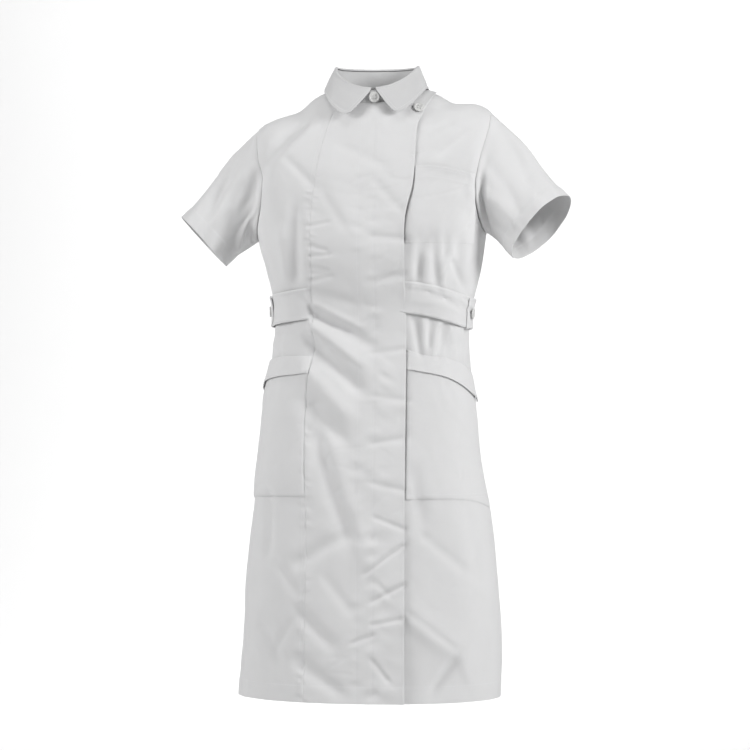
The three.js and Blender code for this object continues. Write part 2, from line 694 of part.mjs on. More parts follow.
// Collar fall: turns over the stand's top and spreads to rounded points on both sides of the front
function collarFall() {
  const ends = spread(0, POINT_ROUND_ALONG, POINT_STEPS);
  const middle = spread(FALL_MIDDLE_FROM, 1 - FALL_MIDDLE_FROM, FALL_COLUMNS);
  const places = [...ends, ...middle, ...ends.map((end) => 1 - end).reverse()];
  const drops = spread(0, 1, FALL_STEPS).slice(1);
  const foldPoint = (angle, turn) => {
    const outward = neckOutward(angle);
    const visible = FOLD_RADIUS + CLOTH;
    const point = collarPoint(FOLD_LINE, angle);
    point.addScaledVector(outward, FOLD_RADIUS + visible * Math.cos(turn));
    point.z += FALL_SEAT + visible * Math.sin(turn);
    return point;
  };
  const dropPoint = (place, drop) => {
    const near = Math.min(place, 1 - place);
    const across = Math.max(0, 1 - near / POINT_ROUND_ALONG);
    const along = Math.max(0, 1 - (1 - drop) / POINT_ROUND_DOWN);
    const keep = across > 0 && along > 0 ? roundCorner(across, along) : 1;
    const moved = POINT_ROUND_ALONG * (1 - across * keep);
    const nearKept = across > 0 ? moved : near;
    const part = place < 0.5 ? nearKept : 1 - nearKept;
    const down = along > 0 ? 1 - POINT_ROUND_DOWN * (1 - along * keep) : drop;
    const bottomAngle = FALL_BOTTOM.start - FALL_BOTTOM.span * part;
    const angle = mix(topAngle(part), bottomAngle, down);
    return foldPoint(angle, 0).lerp(collarPoint(FALL_EDGE, angle), down);
  };
  const turns = spread(Math.PI, 0, FOLD_STEPS);
  const topAngle = (place) => FALL_TOP.start - FALL_TOP.span * place;
  const fold = turns.map((turn) => places.map((place) => foldPoint(topAngle(place), turn)));
  const drop = drops.map((part) => places.map((place) => dropPoint(place, part)));
  return shell([...fold, ...drop]);
}

// Rise of a height below the armpit
const riseOf = (z) => z - HEM_Z;

// Patch that lies on the front below the armpit, between two angles and two heights.
function frontPatch(shape, fromAngle, toAngle, { low, high, columns, rows, out }) {
  return bodyWall(spread(0, 1, columns), spread(0, 1, rows), (part, share) => {
    const lowZ = readCurve(shape, 'part', low, part);
    const highZ = readCurve(shape, 'part', high, part);
    const rise = riseOf(mix(lowZ, highZ, share));
    return { angle: mix(fromAngle(rise), toAngle(rise), part), rise, out };
  });
}

const rightPocketFront = (rise) => offSeam(princessAngle(rise), rise, -POCKET_SEAM_INSET);
const rightPocketSide = (rise) => offSeam(Math.PI, rise, POCKET_SEAM_INSET);
const leftPocketFront = (rise) => offSeam(closureAngle(rise), rise, POCKET_CLOSURE_GAP);
const leftPocketSide = (rise) => offSeam(2 * Math.PI, rise, -POCKET_SEAM_INSET);

const POCKET_GRID = { low: 'bottomZ', high: 'mouthZ', rows: HIP_POCKET_ROWS, out: POCKET_OUT };
const BAND_GRID = { low: 'bandZ', high: 'mouthZ', rows: BAND_ROWS, out: BAND_OUT };

const pocketRight = (grid) => () => {
  const size = { ...grid, columns: RIGHT_POCKET_COLUMNS };
  return frontPatch(HIP_POCKET_RIGHT, rightPocketFront, rightPocketSide, size);
};
const pocketLeft = (grid) => () => {
  const size = { ...grid, columns: LEFT_POCKET_COLUMNS };
  return frontPatch(HIP_POCKET_LEFT, leftPocketFront, leftPocketSide, size);
};

// Chest pocket: from the closure edge almost to the armhole
function chestPocket() {
  return bodyWall(spread(0, 1, CHEST_POCKET_COLUMNS), spread(0, 1, CHEST_POCKET_ROWS), (part, share) => {
    const low = readCurve(CHEST_POCKET, 'part', 'bottomZ', part);
    const high = readCurve(CHEST_POCKET, 'part', 'mouthZ', part);
    const z = mix(low, high, share);
    const fromRise = frontRise(UNDERLAP_X, z);
    const fromX = readCurve(CLOSURE_EDGE, 'rise', 'x', fromRise) + CHEST_POCKET_GAP;
    const x = mix(fromX, CHEST_POCKET_SIDE_X, part);
    const rise = frontRise(x, z);
    return { angle: frontAngle(x, rise), rise, out: POCKET_OUT };
  });
}

// A belt that lies round the waist between two angles. bow gives its stand-off along its length.
function belt(fromAngle, toAngle, columns, bow) {
  return bodyWall(spread(0, 1, columns), spread(-1, 1, BELT_ROWS), (part, share) => {
    const angle = mix(fromAngle, toAngle, part);
    const middle = readCurve(BELT_MIDDLE, 'angle', 'z', angle / DEGREE);
    return { angle, rise: riseOf(middle + BELT_HALF * share), out: bow(part) };
  });
}

const tabBow = (part) => BELT_OUT + BELT_SLACK * Math.sin(Math.PI * Math.min(1, part / TAB_FREE_PART));
const rightTabFrom = offSeam(princessAngle(WAIST_RISE), WAIST_RISE, -TAB_SEAM_INSET);
const leftTabFrom = offSeam(closureAngle(WAIST_RISE), WAIST_RISE, TAB_CLOSURE_GAP);
const beltTabRight = () => belt(rightTabFrom, Math.PI - BELT_TAB_END, RIGHT_TAB_COLUMNS, tabBow);
const beltTabLeft = () => belt(leftTabFrom, 2 * Math.PI + BELT_TAB_END, LEFT_TAB_COLUMNS, tabBow);
const backBeltOut = (part) => BELT_OUT + LAYER + BACK_BELT_SLACK * Math.sin(Math.PI * part);
const beltBack = () => belt(-BACK_BELT_END, Math.PI + BACK_BELT_END, BACK_BELT_COLUMNS, backBeltOut);

// Round button with four sewing holes, its face along +Z
function buttonShape() {
  const circle = (x, y, radius, sides) => spread(0, 2 * Math.PI, sides).slice(0, -1).map((turn) => (
    new THREE.Vector2(x + radius * Math.cos(turn), y + radius * Math.sin(turn))
  ));
  const shape = new THREE.Shape(circle(0, 0, BUTTON_RADIUS, BUTTON_SIDES));
  [[1, 1], [-1, 1], [-1, -1], [1, -1]].forEach(([x, y]) => {
    const place = BUTTON_HOLE_PLACE;
    shape.holes.push(new THREE.Path(circle(x * place, y * place, BUTTON_HOLE_RADIUS, BUTTON_HOLE_SIDES)));
  });
  return new THREE.ExtrudeGeometry(shape, { depth: BUTTON_THICK, bevelEnabled: false });
}

// Places on which the buttons lie: a point and the outward direction there
function buttonOnBody(angle, rise, out) {
  return { point: clothPoint(angle, rise, out + BUTTON_GAP), normal: bodyNormal(angle, rise) };
}

function collarButtonPlace() {
  const top = collarPoint(FOLD_LINE, COLLAR_BUTTON_ANGLE);
  const point = standFoot(COLLAR_BUTTON_ANGLE).lerp(top, COLLAR_BUTTON_HEIGHT);
  const normal = neckOutward(COLLAR_BUTTON_ANGLE);
  return { point: point.addScaledVector(normal, LAYER + BUTTON_GAP), normal };
}

function cornerButtonPlace() {
  const rise = frontRise(CORNER_BUTTON_X, CORNER_BUTTON_Z);
  const angle = frontAngle(CORNER_BUTTON_X, rise);
  return buttonOnBody(angle, rise, overlapOut(angle, rise));
}

function beltButtonPlace(angle) {
  const turn = angle > FRONT_MIDDLE ? angle - 2 * Math.PI : angle;
  const rise = riseOf(readCurve(BELT_MIDDLE, 'angle', 'z', turn / DEGREE));
  const part = (turn + BACK_BELT_END) / (Math.PI + 2 * BACK_BELT_END);
  return buttonOnBody(turn, rise, backBeltOut(part));
}

const BUTTONS = [
  ['button_collar', collarButtonPlace()],
  ['button_corner', cornerButtonPlace()],
  ['button_belt_right', beltButtonPlace(Math.PI + BELT_BUTTON_ANGLE)],
  ['button_belt_left', beltButtonPlace(2 * Math.PI - BELT_BUTTON_ANGLE)],
];

const CLOTH_PIECES = [
  ['front_right_centre', frontRightCentre],
  ['front_right_side', frontRightSide],
  ['front_left', frontLeft],
  ['back', back],
  ...SLEEVES.map((row) => [row.name, () => sleeve(row)]),
  ['collar_stand', collarStand],
  ['collar_fall', collarFall],
  ['chest_pocket', chestPocket],
  ['hip_pocket_right', pocketRight(POCKET_GRID)],
  ['hip_pocket_left', pocketLeft(POCKET_GRID)],
  ['pocket_band_right', pocketRight(BAND_GRID)],
  ['pocket_band_left', pocketLeft(BAND_GRID)],
  ['belt_tab_right', beltTabRight],
  ['belt_tab_left', beltTabLeft],
  ['belt_back', beltBack],
];

const dress = new THREE.Group();
CLOTH_PIECES.forEach(([name, make]) => {
  const mesh = new THREE.Mesh(make(), WHITE_CLOTH.clone());
  mesh.name = name;
  dress.add(mesh);
});
BUTTONS.forEach(([name, { point, normal }]) => {
  const mesh = new THREE.Mesh(buttonShape(), WHITE_BUTTON.clone());
  mesh.name = name;
  mesh.position.copy(point);
  mesh.quaternion.setFromUnitVectors(new THREE.Vector3(0, 0, 1), normal);
  dress.add(mesh);
});

export default dress;
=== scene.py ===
# Looks of a nurse uniform dress, filled out as when worn.
# The pattern below is in millimetres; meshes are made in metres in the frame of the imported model.
import math

import bmesh
import bpy
import numpy as np
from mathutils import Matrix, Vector


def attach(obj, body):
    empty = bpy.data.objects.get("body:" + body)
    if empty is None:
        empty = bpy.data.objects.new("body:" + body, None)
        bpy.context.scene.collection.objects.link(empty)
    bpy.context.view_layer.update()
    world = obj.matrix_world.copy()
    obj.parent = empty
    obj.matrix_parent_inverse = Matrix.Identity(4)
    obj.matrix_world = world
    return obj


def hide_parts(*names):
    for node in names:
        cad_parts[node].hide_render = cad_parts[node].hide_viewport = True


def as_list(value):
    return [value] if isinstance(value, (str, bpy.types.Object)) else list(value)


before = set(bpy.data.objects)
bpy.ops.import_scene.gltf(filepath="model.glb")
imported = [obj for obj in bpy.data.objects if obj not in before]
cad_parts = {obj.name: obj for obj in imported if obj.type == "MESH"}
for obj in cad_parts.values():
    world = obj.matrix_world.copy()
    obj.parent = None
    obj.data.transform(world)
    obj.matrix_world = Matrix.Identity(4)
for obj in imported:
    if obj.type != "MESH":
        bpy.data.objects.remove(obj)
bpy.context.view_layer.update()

MM = 0.001
TURN = 2 * math.pi
FRONT = 1.5 * math.pi

# Cloth and its layers, as in the solids
CLOTH = 1.4
LAYER = 2.3
NECK_RISE = 1066.0
NECK_TURN_RISE = 1048.0
NECK_LEVELLING = 0.5
NECK_FOLD_FADE = 60.0
ARMPIT_RISE = 759.0
SHOULDER_TIP_RISE = 946.0
HEM_Z = -994.0
WAIST_RISE = 649.0
ARMHOLE_FRONT = math.radians(31)
ARMHOLE_BACK = math.radians(29)


def table(names, rows):
    """Columns of numbers by name."""
    data = np.array(rows, float)
    return {name: data[:, index] for index, name in enumerate(names)}


COURSES = table(
    ["rise", "sideZ", "frontZ", "backZ", "halfWidth", "frontDepth", "backDepth", "centreX", "lift", "square"],
    [
        [0, -994, -994, -994, 218, 148, 157, -13, 0, 2.15],
        [97, -897, -897, -897, 215, 146, 156, -9, 0, 2.15],
        [193, -801, -801, -801, 209, 142, 153, -9, 0, 2.2],
        [291, -703, -703, -703, 199, 137, 149, -9, 0, 2.25],
        [385, -609, -609, -609, 185, 131, 143, -13, 0, 2.3],
        [491, -503, -503, -503, 174, 120, 127, -12, 0, 2.3],
        [544, -450, -450, -450, 166, 114, 114, -11, 0, 2.3],
        [597, -397, -397, -397, 162, 110, 104, -9.5, 0, 2.3],
        [639, -355, -355, -355, 163, 113, 104, -7, 0, 2.3],
        [671, -323, -323, -323, 170, 121, 108, -6, 0, 2.35],
        [711, -283, -283, -283, 179, 129, 115, -6, 2, 2.4],
        [759, -235, -245, -240, 189, 130, 121, -8, 5, 2.4],
        [804, -190, -212, -205, 196, 126, 124, -8, 6, 2.45],
        [854, -140, -181, -172, 201, 120, 126, -6, 7, 2.45],
        [899, -95, -154, -140, 203, 114, 125, -5, 8, 2.45],
        [928, -62, -134, -114, 202, 109, 123, -3, 11, 2.4],
        [950, -42, -116, -92, 191.5, 103, 119, -3, 11.5, 2.35],
        [975, -29.5, -95, -66, 167.5, 95, 111, -2, 11, 2.3],
        [1008, -22, -70, -34, 130, 84, 97, -1, 5.5, 2.2],
        [1034, -5, -48, -10, 105, 76, 82, -1, 2, 2.1],
        [1050, 2.5, -34, 5, 88, 70, 72, 0, 0, 2.05],
        [1066, 4, -20, 17, 71, 62, 61, 0, 0, 2],
    ],
)
PRINCESS_SEAM = table(
    ["rise", "x"],
    [
        [0, -103], [290, -100], [480, -103], [560, -92], [700, -92], [800, -93], [900, -88], [1000, -74],
        [1066, -52],
    ],
)
CLOSURE_EDGE = table(
    ["rise", "x"],
    [
        [0, 63], [400, 62], [740, 61], [800, 62], [840, 67], [880, 73], [920, 75.5], [1000, 77.5],
        [1016, 83], [1026, 89], [1034, 96], [1039, 102], [1066, 140],
    ],
)
UNDERLAP_X = 3.0
UNDERLAP_SINK = 3.5
UNDERLAP_PART = 0.27
OVERLAP_RAMP = 0.45
EDGE_STAND_POWER = 6
CORNER_LIFT_POWER = 2
EDGE_STAND = table(
    ["rise", "out"],
    [
        [0, 3.5], [150, 3], [260, 1.5], [340, 1], [400, 3], [520, 3.5], [600, 1.5], [640, 1], [700, 2.5],
        [780, 5], [830, 4], [900, 1], [1000, 0.5], [1066, 0.3],
    ],
)
CORNER_LIFT = table(["rise", "out"], [[960, 0], [1018, 1.2], [1050, 0.7], [1066, 0.3]])

# Folds of the front: the line each runs along, its half breadth and its depth
FRONT_FOLDS = [
    [-190, -140, -128, -62, 13, -5], [-168, -120, -108, -70, 12, 3], [-120, -205, -118, -300, 11, -3.5],
    [-142, -245, -134, -320, 10, 2.5], [-82, -368, -10, -408, 11, -4], [-85, -390, -18, -445, 13, 4],
    [-88, -420, -22, -480, 12, -4.5], [-90, -470, -40, -520, 15, 4], [-92, -520, -48, -560, 13, -3.5],
    [-78, -575, -30, -715, 16, -5], [-58, -600, -8, -740, 18, 3.5], [-55, -735, -105, -765, 12, -3],
    [-98, -860, -66, -890, 12, -3], [-100, -935, -50, -970, 13, -3], [80, -640, 88, -690, 13, -3],
    [82, -860, 140, -910, 18, 3.5], [112, -970, 140, -925, 12, -3], [-168, -880, -150, -920, 14, -3.5],
    [-172, -670, -170, -745, 11, -3], [166, -700, 176, -780, 12, -3], [122, -395, 132, -440, 11, -3.5],
    [-60, -150, -20, -260, 26, 2],
]
# Gathers drawn in by the left belt: centre, top, bottom, depth
GATHERS = [
    [83, -250, -395, -2.6], [97, -262, -372, -2.2], [111, -246, -405, -2.8], [126, -240, -398, -2.9],
    [149, -255, -380, -2.5],
]
GATHER_BREADTH = 6.5
# How much deeper the cloth shows its folds, gathers and fine creases than the rigid solids do
FOLD_GAIN = 1.75
BACK_GAIN = 2.3
GATHER_GAIN = 1.3
CREASE_GAIN = 2.4
# Folds fade towards the side seams: this many times the square of the sine of the angle
SIDE_REACH = 2.4
BACK_FOLDS = [
    [-96, -250, -84, -420, 14, -4], [-40, -270, -34, -430, 12, -3], [18, -280, 14, -425, 13, -3.5],
    [66, -260, 58, -430, 13, -3.5], [112, -240, 96, -415, 14, -4], [-150, -150, -95, -215, 15, -4],
    [146, -140, 92, -210, 15, -4], [-60, -700, -70, -960, 22, -4], [72, -640, 88, -950, 22, -4],
    [0, -620, 4, -900, 24, 3.5],
]
BELT_MIDDLE = table(
    ["angle", "z"],
    [
        [-20, -364], [0, -363], [90, -369], [180, -361], [238, -349], [265, -340], [295, -340], [340, -360],
        [380, -364],
    ],
)
BELT_GAP_FROM = 239.0
BELT_GAP_TO = 293.0
BELT_PRESS = 38.0
GATHER_PRESS = 28.0
BELT_HALF = 25.5
BELT_OUT = 3.2
BELT_TAB_END = math.radians(16)
BACK_BELT_END = math.radians(15)
BELT_SLACK = 3.0
TAB_FREE_PART = 0.58
BACK_BELT_SLACK = 1.5
BELT_BUTTON_ANGLE = math.radians(7)

# Creases that are too fine for the solids, as x0, z0, x1, z1, half breadth, depth
FRONT_CREASES = [
    [-92, -223, -66, -219, 3.5, -0.8], [-92, -257, -70, -262, 3.5, -0.9], [-92, -273, -64, -270, 3.5, -0.8],
    [-92, -291, -68, -295, 4, -0.9], [-92, -300, -72, -301, 3.5, -0.7], [-92, -312, -62, -306, 4, -0.9],
    [-84, -332, -12, -352, 9, -0.9], [-86, -352, -20, -384, 6, 1.4], [-84, -372, -30, -392, 5, -1.2],
    [-62, -420, -16, -452, 6, -1.3], [18, -696, 58, -712, 4, -1.3], [14, -828, 58, -804, 4, -1.4],
    [16, -866, 55, -858, 4, -1.3], [-17, -895, 10, -885, 4, -1.2], [14, -927, 35, -953, 4, -1.4],
    [2, -783, 58, -741, 4, -1.2], [12, -640, 56, -650, 5, -0.9], [14, -575, 54, -569, 5, -0.9],
    [16, -500, 58, -506, 5, -0.8], [10, -430, 56, -424, 5, -0.9], [12, -312, 56, -304, 6, -1],
    [14, -240, 58, -246, 6, -0.9], [-176, -858, -148, -905, 9, 1.1], [-148, -905, -128, -870, 8, -1.2],
    [-165, -666, -163, -735, 7, -1.1], [76, -852, 136, -902, 7, -1.4], [116, -962, 147, -917, 8, -1.2],
    [147, -917, 164, -958, 8, 1.0], [-150, -770, -118, -812, 8, -1.2], [100, -730, 150, -775, 9, -1.2],
    [-60, -800, -20, -850, 10, -1.1], [-128, -120, -96, -150, 8, -1.2], [-40, -96, 12, -120, 9, -0.9],
    [-66, -180, -40, -220, 9, -0.9], [20, -160, 52, -196, 8, -0.9], [120, -100, 150, -75, 8, -1.6],
    [96, -70, 128, -52, 7, -1.2], [140, -285, 152, -322, 5, -1.4], [78, -324, 90, -256, 8, -1.6],
    [112, -328, 103, -246, 9, -1.4], [136, -332, 147, -262, 8, -1.8], [96, -322, 98, -276, 6, 1.3],
    [122, -326, 126, -284, 6, 1.4], [74, -378, 84, -428, 6, -1.8], [101, -377, 95, -416, 5, -1.5],
    [124, -384, 113, -432, 6, -1.9], [146, -392, 157, -440, 6, -1.6], [88, -382, 92, -420, 5, 1.4],
    [112, -380, 105, -424, 5, 1.5],
]
BACK_CREASES = [
    [-70, -60, -20, -84, 10, -1.4], [24, -62, 70, -88, 10, -1.3], [-120, -200, -100, -330, 8, -1.6],
    [-66, -230, -62, -340, 7, -1.4], [-12, -250, -10, -345, 6, -1.2], [42, -240, 40, -345, 7, -1.3],
    [92, -215, 84, -335, 8, -1.6], [-110, -400, -118, -520, 9, -1.6], [-52, -400, -58, -500, 8, -1.4],
    [0, -398, 2, -470, 7, -1.2], [50, -402, 58, -510, 8, -1.4], [104, -398, 116, -530, 9, -1.6],
    [-140, -640, -60, -680, 12, -1.6], [40, -600, 128, -650, 12, -1.5], [-30, -860, 40, -905, 12, -1.4],
    [-160, -860, -120, -930, 10, -1.6], [130, -830, 160, -900, 10, -1.6],
]

# Stitching
STITCH_PITCH = 2.9
STITCH_LENGTH = 2.3
STITCH_BREADTH = 0.55
STITCH_HEIGHT = 0.3
HEM_STITCH = 27.0
HEM_RAISE = 0.5
CUFF_STITCH = 23.0
CUFF_RAISE = 0.8
PRINCESS_STITCHES = (1.2, 7.0)
PLACKET_LINES = (11.0, -15.0)
CLOSURE_STITCH = 5.5
POCKET_STITCHES = (2.0, 7.5)
EDGE_STITCH = 3.0
COLLAR_STITCH = 6.0
# The rise up to which the front is topstitched, and the part of the left front that lies hidden
STITCHED_TO = 1035.0
UNDERLAP_HIDDEN = 0.3


def read_curve(rows, key, column, place):
    """A smooth curve through one column, read at some places along the key column."""
    keys = rows[key]
    values = rows[column]
    at = np.clip(place, keys[0], keys[-1])
    low = np.clip(np.searchsorted(keys, at, side="left") - 1, 0, len(keys) - 2)
    before = np.maximum(np.arange(len(keys)) - 1, 0)
    after = np.minimum(np.arange(len(keys)) + 1, len(keys) - 1)
    slope = (values[after] - values[before]) / (keys[after] - keys[before])
    span = keys[low + 1] - keys[low]
    t = (at - keys[low]) / span
    rise = values[low + 1] - values[low]
    bend_a = slope[low] * span - rise
    bend_b = rise - slope[low + 1] * span
    return values[low] + t * rise + t * (1 - t) * ((1 - t) * bend_a + t * bend_b)


def smooth(share):
    part = np.clip(share, 0, 1)
    return part * part * (3 - 2 * part)


def bell(offset, breadth, power=2):
    """One at no offset, falling softly to nearly none past the breadth."""
    return np.exp(-((offset / breadth) ** power))


def unit(vectors):
    return vectors / np.maximum(np.linalg.norm(vectors, axis=-1, keepdims=True), 1e-9)


def signed_power(value, power):
    return np.sign(value) * np.abs(value) ** power


def course(rise, *columns):
    return [read_curve(COURSES, "rise", column, rise) for column in columns]


def oval_point(angle, half, front, back, side_z, front_z, back_z, climb, square):
    """Points of a squared oval. Their heights run from its sides to its front and its back."""
    sine = np.sin(angle)
    across = half * signed_power(np.cos(angle), 2 / square)
    deep = np.where(sine < 0, front, back) * signed_power(sine, 2 / square)
    z = side_z + (np.where(sine < 0, front_z, back_z) - side_z) * np.abs(sine) ** climb
    return np.stack([across, deep, z], axis=-1)


def body_point(angle, rise):
    """Points on the unfolded body. 270 degrees is the front."""
    angle, rise = np.broadcast_arrays(np.asarray(angle, float), np.asarray(rise, float))
    oval = course(rise, "halfWidth", "frontDepth", "backDepth", "sideZ", "frontZ", "backZ")
    centre, lift, square = course(rise, "centreX", "lift", "square")
    point = oval_point(angle, *oval, 2, square)
    point[..., 2] += lift * point[..., 0] / oval[0]
    point[..., 0] += centre
    return point


# Rings of the collar: half width, front and back depth, heights at side, front and back, climb, squareness
NECK_SEAM = (71, 62, 61, 4, -20, 17, 2, 2)
FOLD_LINE = (67, 61, 66, 43, 2, 45, 1.38, 2)
FALL_EDGE = (85.5, 92, 87, 9, -45.5, 9, 1.6, 2.65)


def collar_point(ring, angle):
    return oval_point(angle, *ring)


def neck_outward(angle):
    half, front = FOLD_LINE[:2]
    return unit(np.stack([np.cos(angle) / half, np.sin(angle) / front, 0 * np.asarray(angle)], axis=-1))


def body_normal(angle, rise):
    angle, rise = np.broadcast_arrays(np.asarray(angle, float), np.asarray(rise, float))
    step = 0.01
    around = body_point(angle + step, rise) - body_point(angle - step, rise)
    up = body_point(angle, np.minimum(rise + 2, NECK_RISE)) - body_point(angle, np.maximum(rise - 2, 0))
    level = np.maximum(0, (rise - NECK_TURN_RISE) / (NECK_RISE - NECK_TURN_RISE)) * NECK_LEVELLING
    return unit(unit(np.cross(around, up)) * (1 - level[..., None]) + neck_outward(angle) * level[..., None])


def line_folds(rows, x, z):
    """Sum of straight soft folds at places of the front or back view."""
    total = np.zeros_like(x)
    for x0, z0, x1, z1, breadth, depth in rows:
        run_x, run_z = x1 - x0, z1 - z0
        length = math.hypot(run_x, run_z)
        along = ((x - x0) * run_x + (z - z0) * run_z) / length
        off = ((x - x0) * run_z - (z - z0) * run_x) / length
        past = np.maximum(np.maximum(-along, along - length), 0)
        total += depth * bell(off, breadth) * bell(past, 2 * breadth)
    return total


def gathers(x, z):
    total = np.zeros_like(x)
    for centre, top, bottom, depth in GATHERS:
        fade = bell(z - (top + bottom) / 2, (top - bottom) / 2, 4)
        total += depth * fade * bell(x - centre, GATHER_BREADTH)
    return total


def under_belt(angle, z, press=BELT_PRESS):
    turn = np.degrees(angle) % 360
    free = (turn > BELT_GAP_FROM) & (turn < BELT_GAP_TO)
    return np.where(free, 1, 1 - bell(z - read_curve(BELT_MIDDLE, "angle", "z", turn), press, 4))


def folds_at(angle, point):
    x, z = point[..., 0], point[..., 2]
    pressed = under_belt(angle, z)
    front = FOLD_GAIN * line_folds(FRONT_FOLDS, x, z) * pressed
    front = front + GATHER_GAIN * gathers(x, z) * under_belt(angle, z, GATHER_PRESS)
    back = BACK_GAIN * line_folds(BACK_FOLDS, x, z) * pressed
    return np.where(np.sin(angle) > 0, back, front)


def side_fade(angle):
    return np.minimum(1, SIDE_REACH * np.sin(angle) ** 2)


def neck_fade(rise):
    return np.minimum(1, (NECK_RISE - rise) / NECK_FOLD_FADE)


def hashed(cell, seed):
    value = np.sin(cell * 127.1 + seed * 311.7) * 43758.5453
    return 2 * (value - np.floor(value)) - 1


def noise_line(place, seed):
    """Smooth noise from -1 to 1 along a line, with one knot a unit."""
    cell = np.floor(place)
    part = smooth(place - cell)
    return hashed(cell, seed) * (1 - part) + hashed(cell + 1, seed) * part


def noise_plane(u, v, seed):
    """Smooth noise from -1 to 1 over a plane."""
    row = np.floor(v)
    part = smooth(v - row)
    low = noise_line(u, seed + row * 1.37)
    high = noise_line(u, seed + (row + 1) * 1.37)
    return low * (1 - part) + high * part


def puckers(along, off, seed, pitch, reach, depth):
    """Ripples that cross a seam: strongest at the stitches and gone past their reach."""
    fade = bell(off, reach)
    leaning = along + off * 0.35 * noise_line(along / 55, seed + 3)
    swell = 0.55 + 0.45 * noise_line(along / 37, seed + 7)
    return depth * fade * swell * noise_line(leaning / pitch, seed)


def crumple(u, v, seed):
    """Low unevenness of worn cloth: broad swells, small ones and a few thin wrinkles."""
    bent = u + 14 * noise_plane(u / 60, v / 44, seed + 5)
    broad = noise_plane(u / 46 + v / 130, v / 62, seed) * 1.15
    fine = noise_plane(bent / 19 + v / 48, v / 27, seed + 11) * 0.45
    line = noise_plane(bent / 38 - v / 52, v / 33, seed + 23)
    where = smooth(1.6 * noise_plane(u / 52, v / 70, seed + 31))
    return broad + fine - 0.75 * where * bell(line, 0.16)


AROUND = 170.0


def body_crumple(angle, rise):
    """Unevenness of the body at a place, the same for every layer that lies there."""
    low = crumple(np.mod(angle, TURN) * AROUND, rise, 12)
    waist = bell(rise - WAIST_RISE + 50, 90) * (1 - side_fade(angle))
    low = low + 1.5 * waist * noise_plane(np.mod(angle, TURN) * AROUND / 40, rise / 17, 77)
    return low * smooth(np.abs(np.sin(angle / 2)) / 0.08) * np.minimum(1, (NECK_RISE - rise) / 30)


def front_angle(x, rise):
    centre, half, square = course(rise, "centreX", "halfWidth", "square")
    part = np.clip((x - centre) / half, -1, 1)
    return TURN - np.arccos(signed_power(part, square / 2))


def off_seam(angle, rise, distance):
    step = 0.01
    ahead = body_point(angle + step, rise) - body_point(angle - step, rise)
    return angle + distance * 2 * step / np.linalg.norm(ahead, axis=-1)


def armhole_bend(rise):
    middle = (ARMPIT_RISE + SHOULDER_TIP_RISE) / 2
    part = (rise - middle) / (SHOULDER_TIP_RISE - middle)
    return np.sqrt(np.maximum(0, 1 - part * part))


SEAM_HALF = 0.08


def armhole_edge(side, bend, gap):
    """The edge of a panel up its side seam and armhole, as a function of the rise."""
    return lambda rise: off_seam(side + bend * armhole_bend(rise), rise, gap)


left_front_edge = armhole_edge(TURN, -ARMHOLE_FRONT, -SEAM_HALF)
right_front_edge = armhole_edge(math.pi, ARMHOLE_FRONT, SEAM_HALF)
left_back_edge = armhole_edge(0, ARMHOLE_BACK, SEAM_HALF)
right_back_edge = armhole_edge(math.pi, -ARMHOLE_BACK, -SEAM_HALF)


def princess_angle(rise):
    return front_angle(read_curve(PRINCESS_SEAM, "rise", "x", rise), rise)


def closure_angle(rise):
    return np.minimum(front_angle(read_curve(CLOSURE_EDGE, "rise", "x", rise), rise), left_front_edge(rise))


def overlap_out(angle, rise):
    start = princess_angle(rise)
    part = np.clip((angle - start) / (closure_angle(rise) - start), 0, 1)
    stand = read_curve(EDGE_STAND, "rise", "out", rise) * part**EDGE_STAND_POWER
    layer = LAYER + read_curve(CORNER_LIFT, "rise", "out", rise) * part**CORNER_LIFT_POWER
    return layer * smooth(part / OVERLAP_RAMP) + stand


def body_rises(step):
    """Rises of the rows: close together round the armhole, where its edge turns."""
    low = np.arange(0, ARMPIT_RISE, step)
    turns = np.linspace(0, math.pi, int(1.25 * (SHOULDER_TIP_RISE - ARMPIT_RISE) / step))
    hole = ARMPIT_RISE + (SHOULDER_TIP_RISE - ARMPIT_RISE) * (1 - np.cos(turns)) / 2
    top = np.linspace(SHOULDER_TIP_RISE, NECK_RISE, int((NECK_RISE - SHOULDER_TIP_RISE) / step))[1:]
    return np.concatenate([low[:-1], hole, top])


def seam_columns(width, step):
    """Shares across a panel, closer together at both of its edges."""
    near = np.array([0, 0.7, 1.5, 2.6, 4, 5.6, 7.4, 9.6])
    inner = np.linspace(12, width - 12, max(2, int((width - 24) / step)))
    return np.concatenate([near, inner, (width - near)[::-1]]) / width


def arc_lengths(grid):
    steps = np.linalg.norm(np.diff(grid, axis=1), axis=-1)
    return np.concatenate([np.zeros((len(grid), 1)), np.cumsum(steps, axis=1)], axis=1)


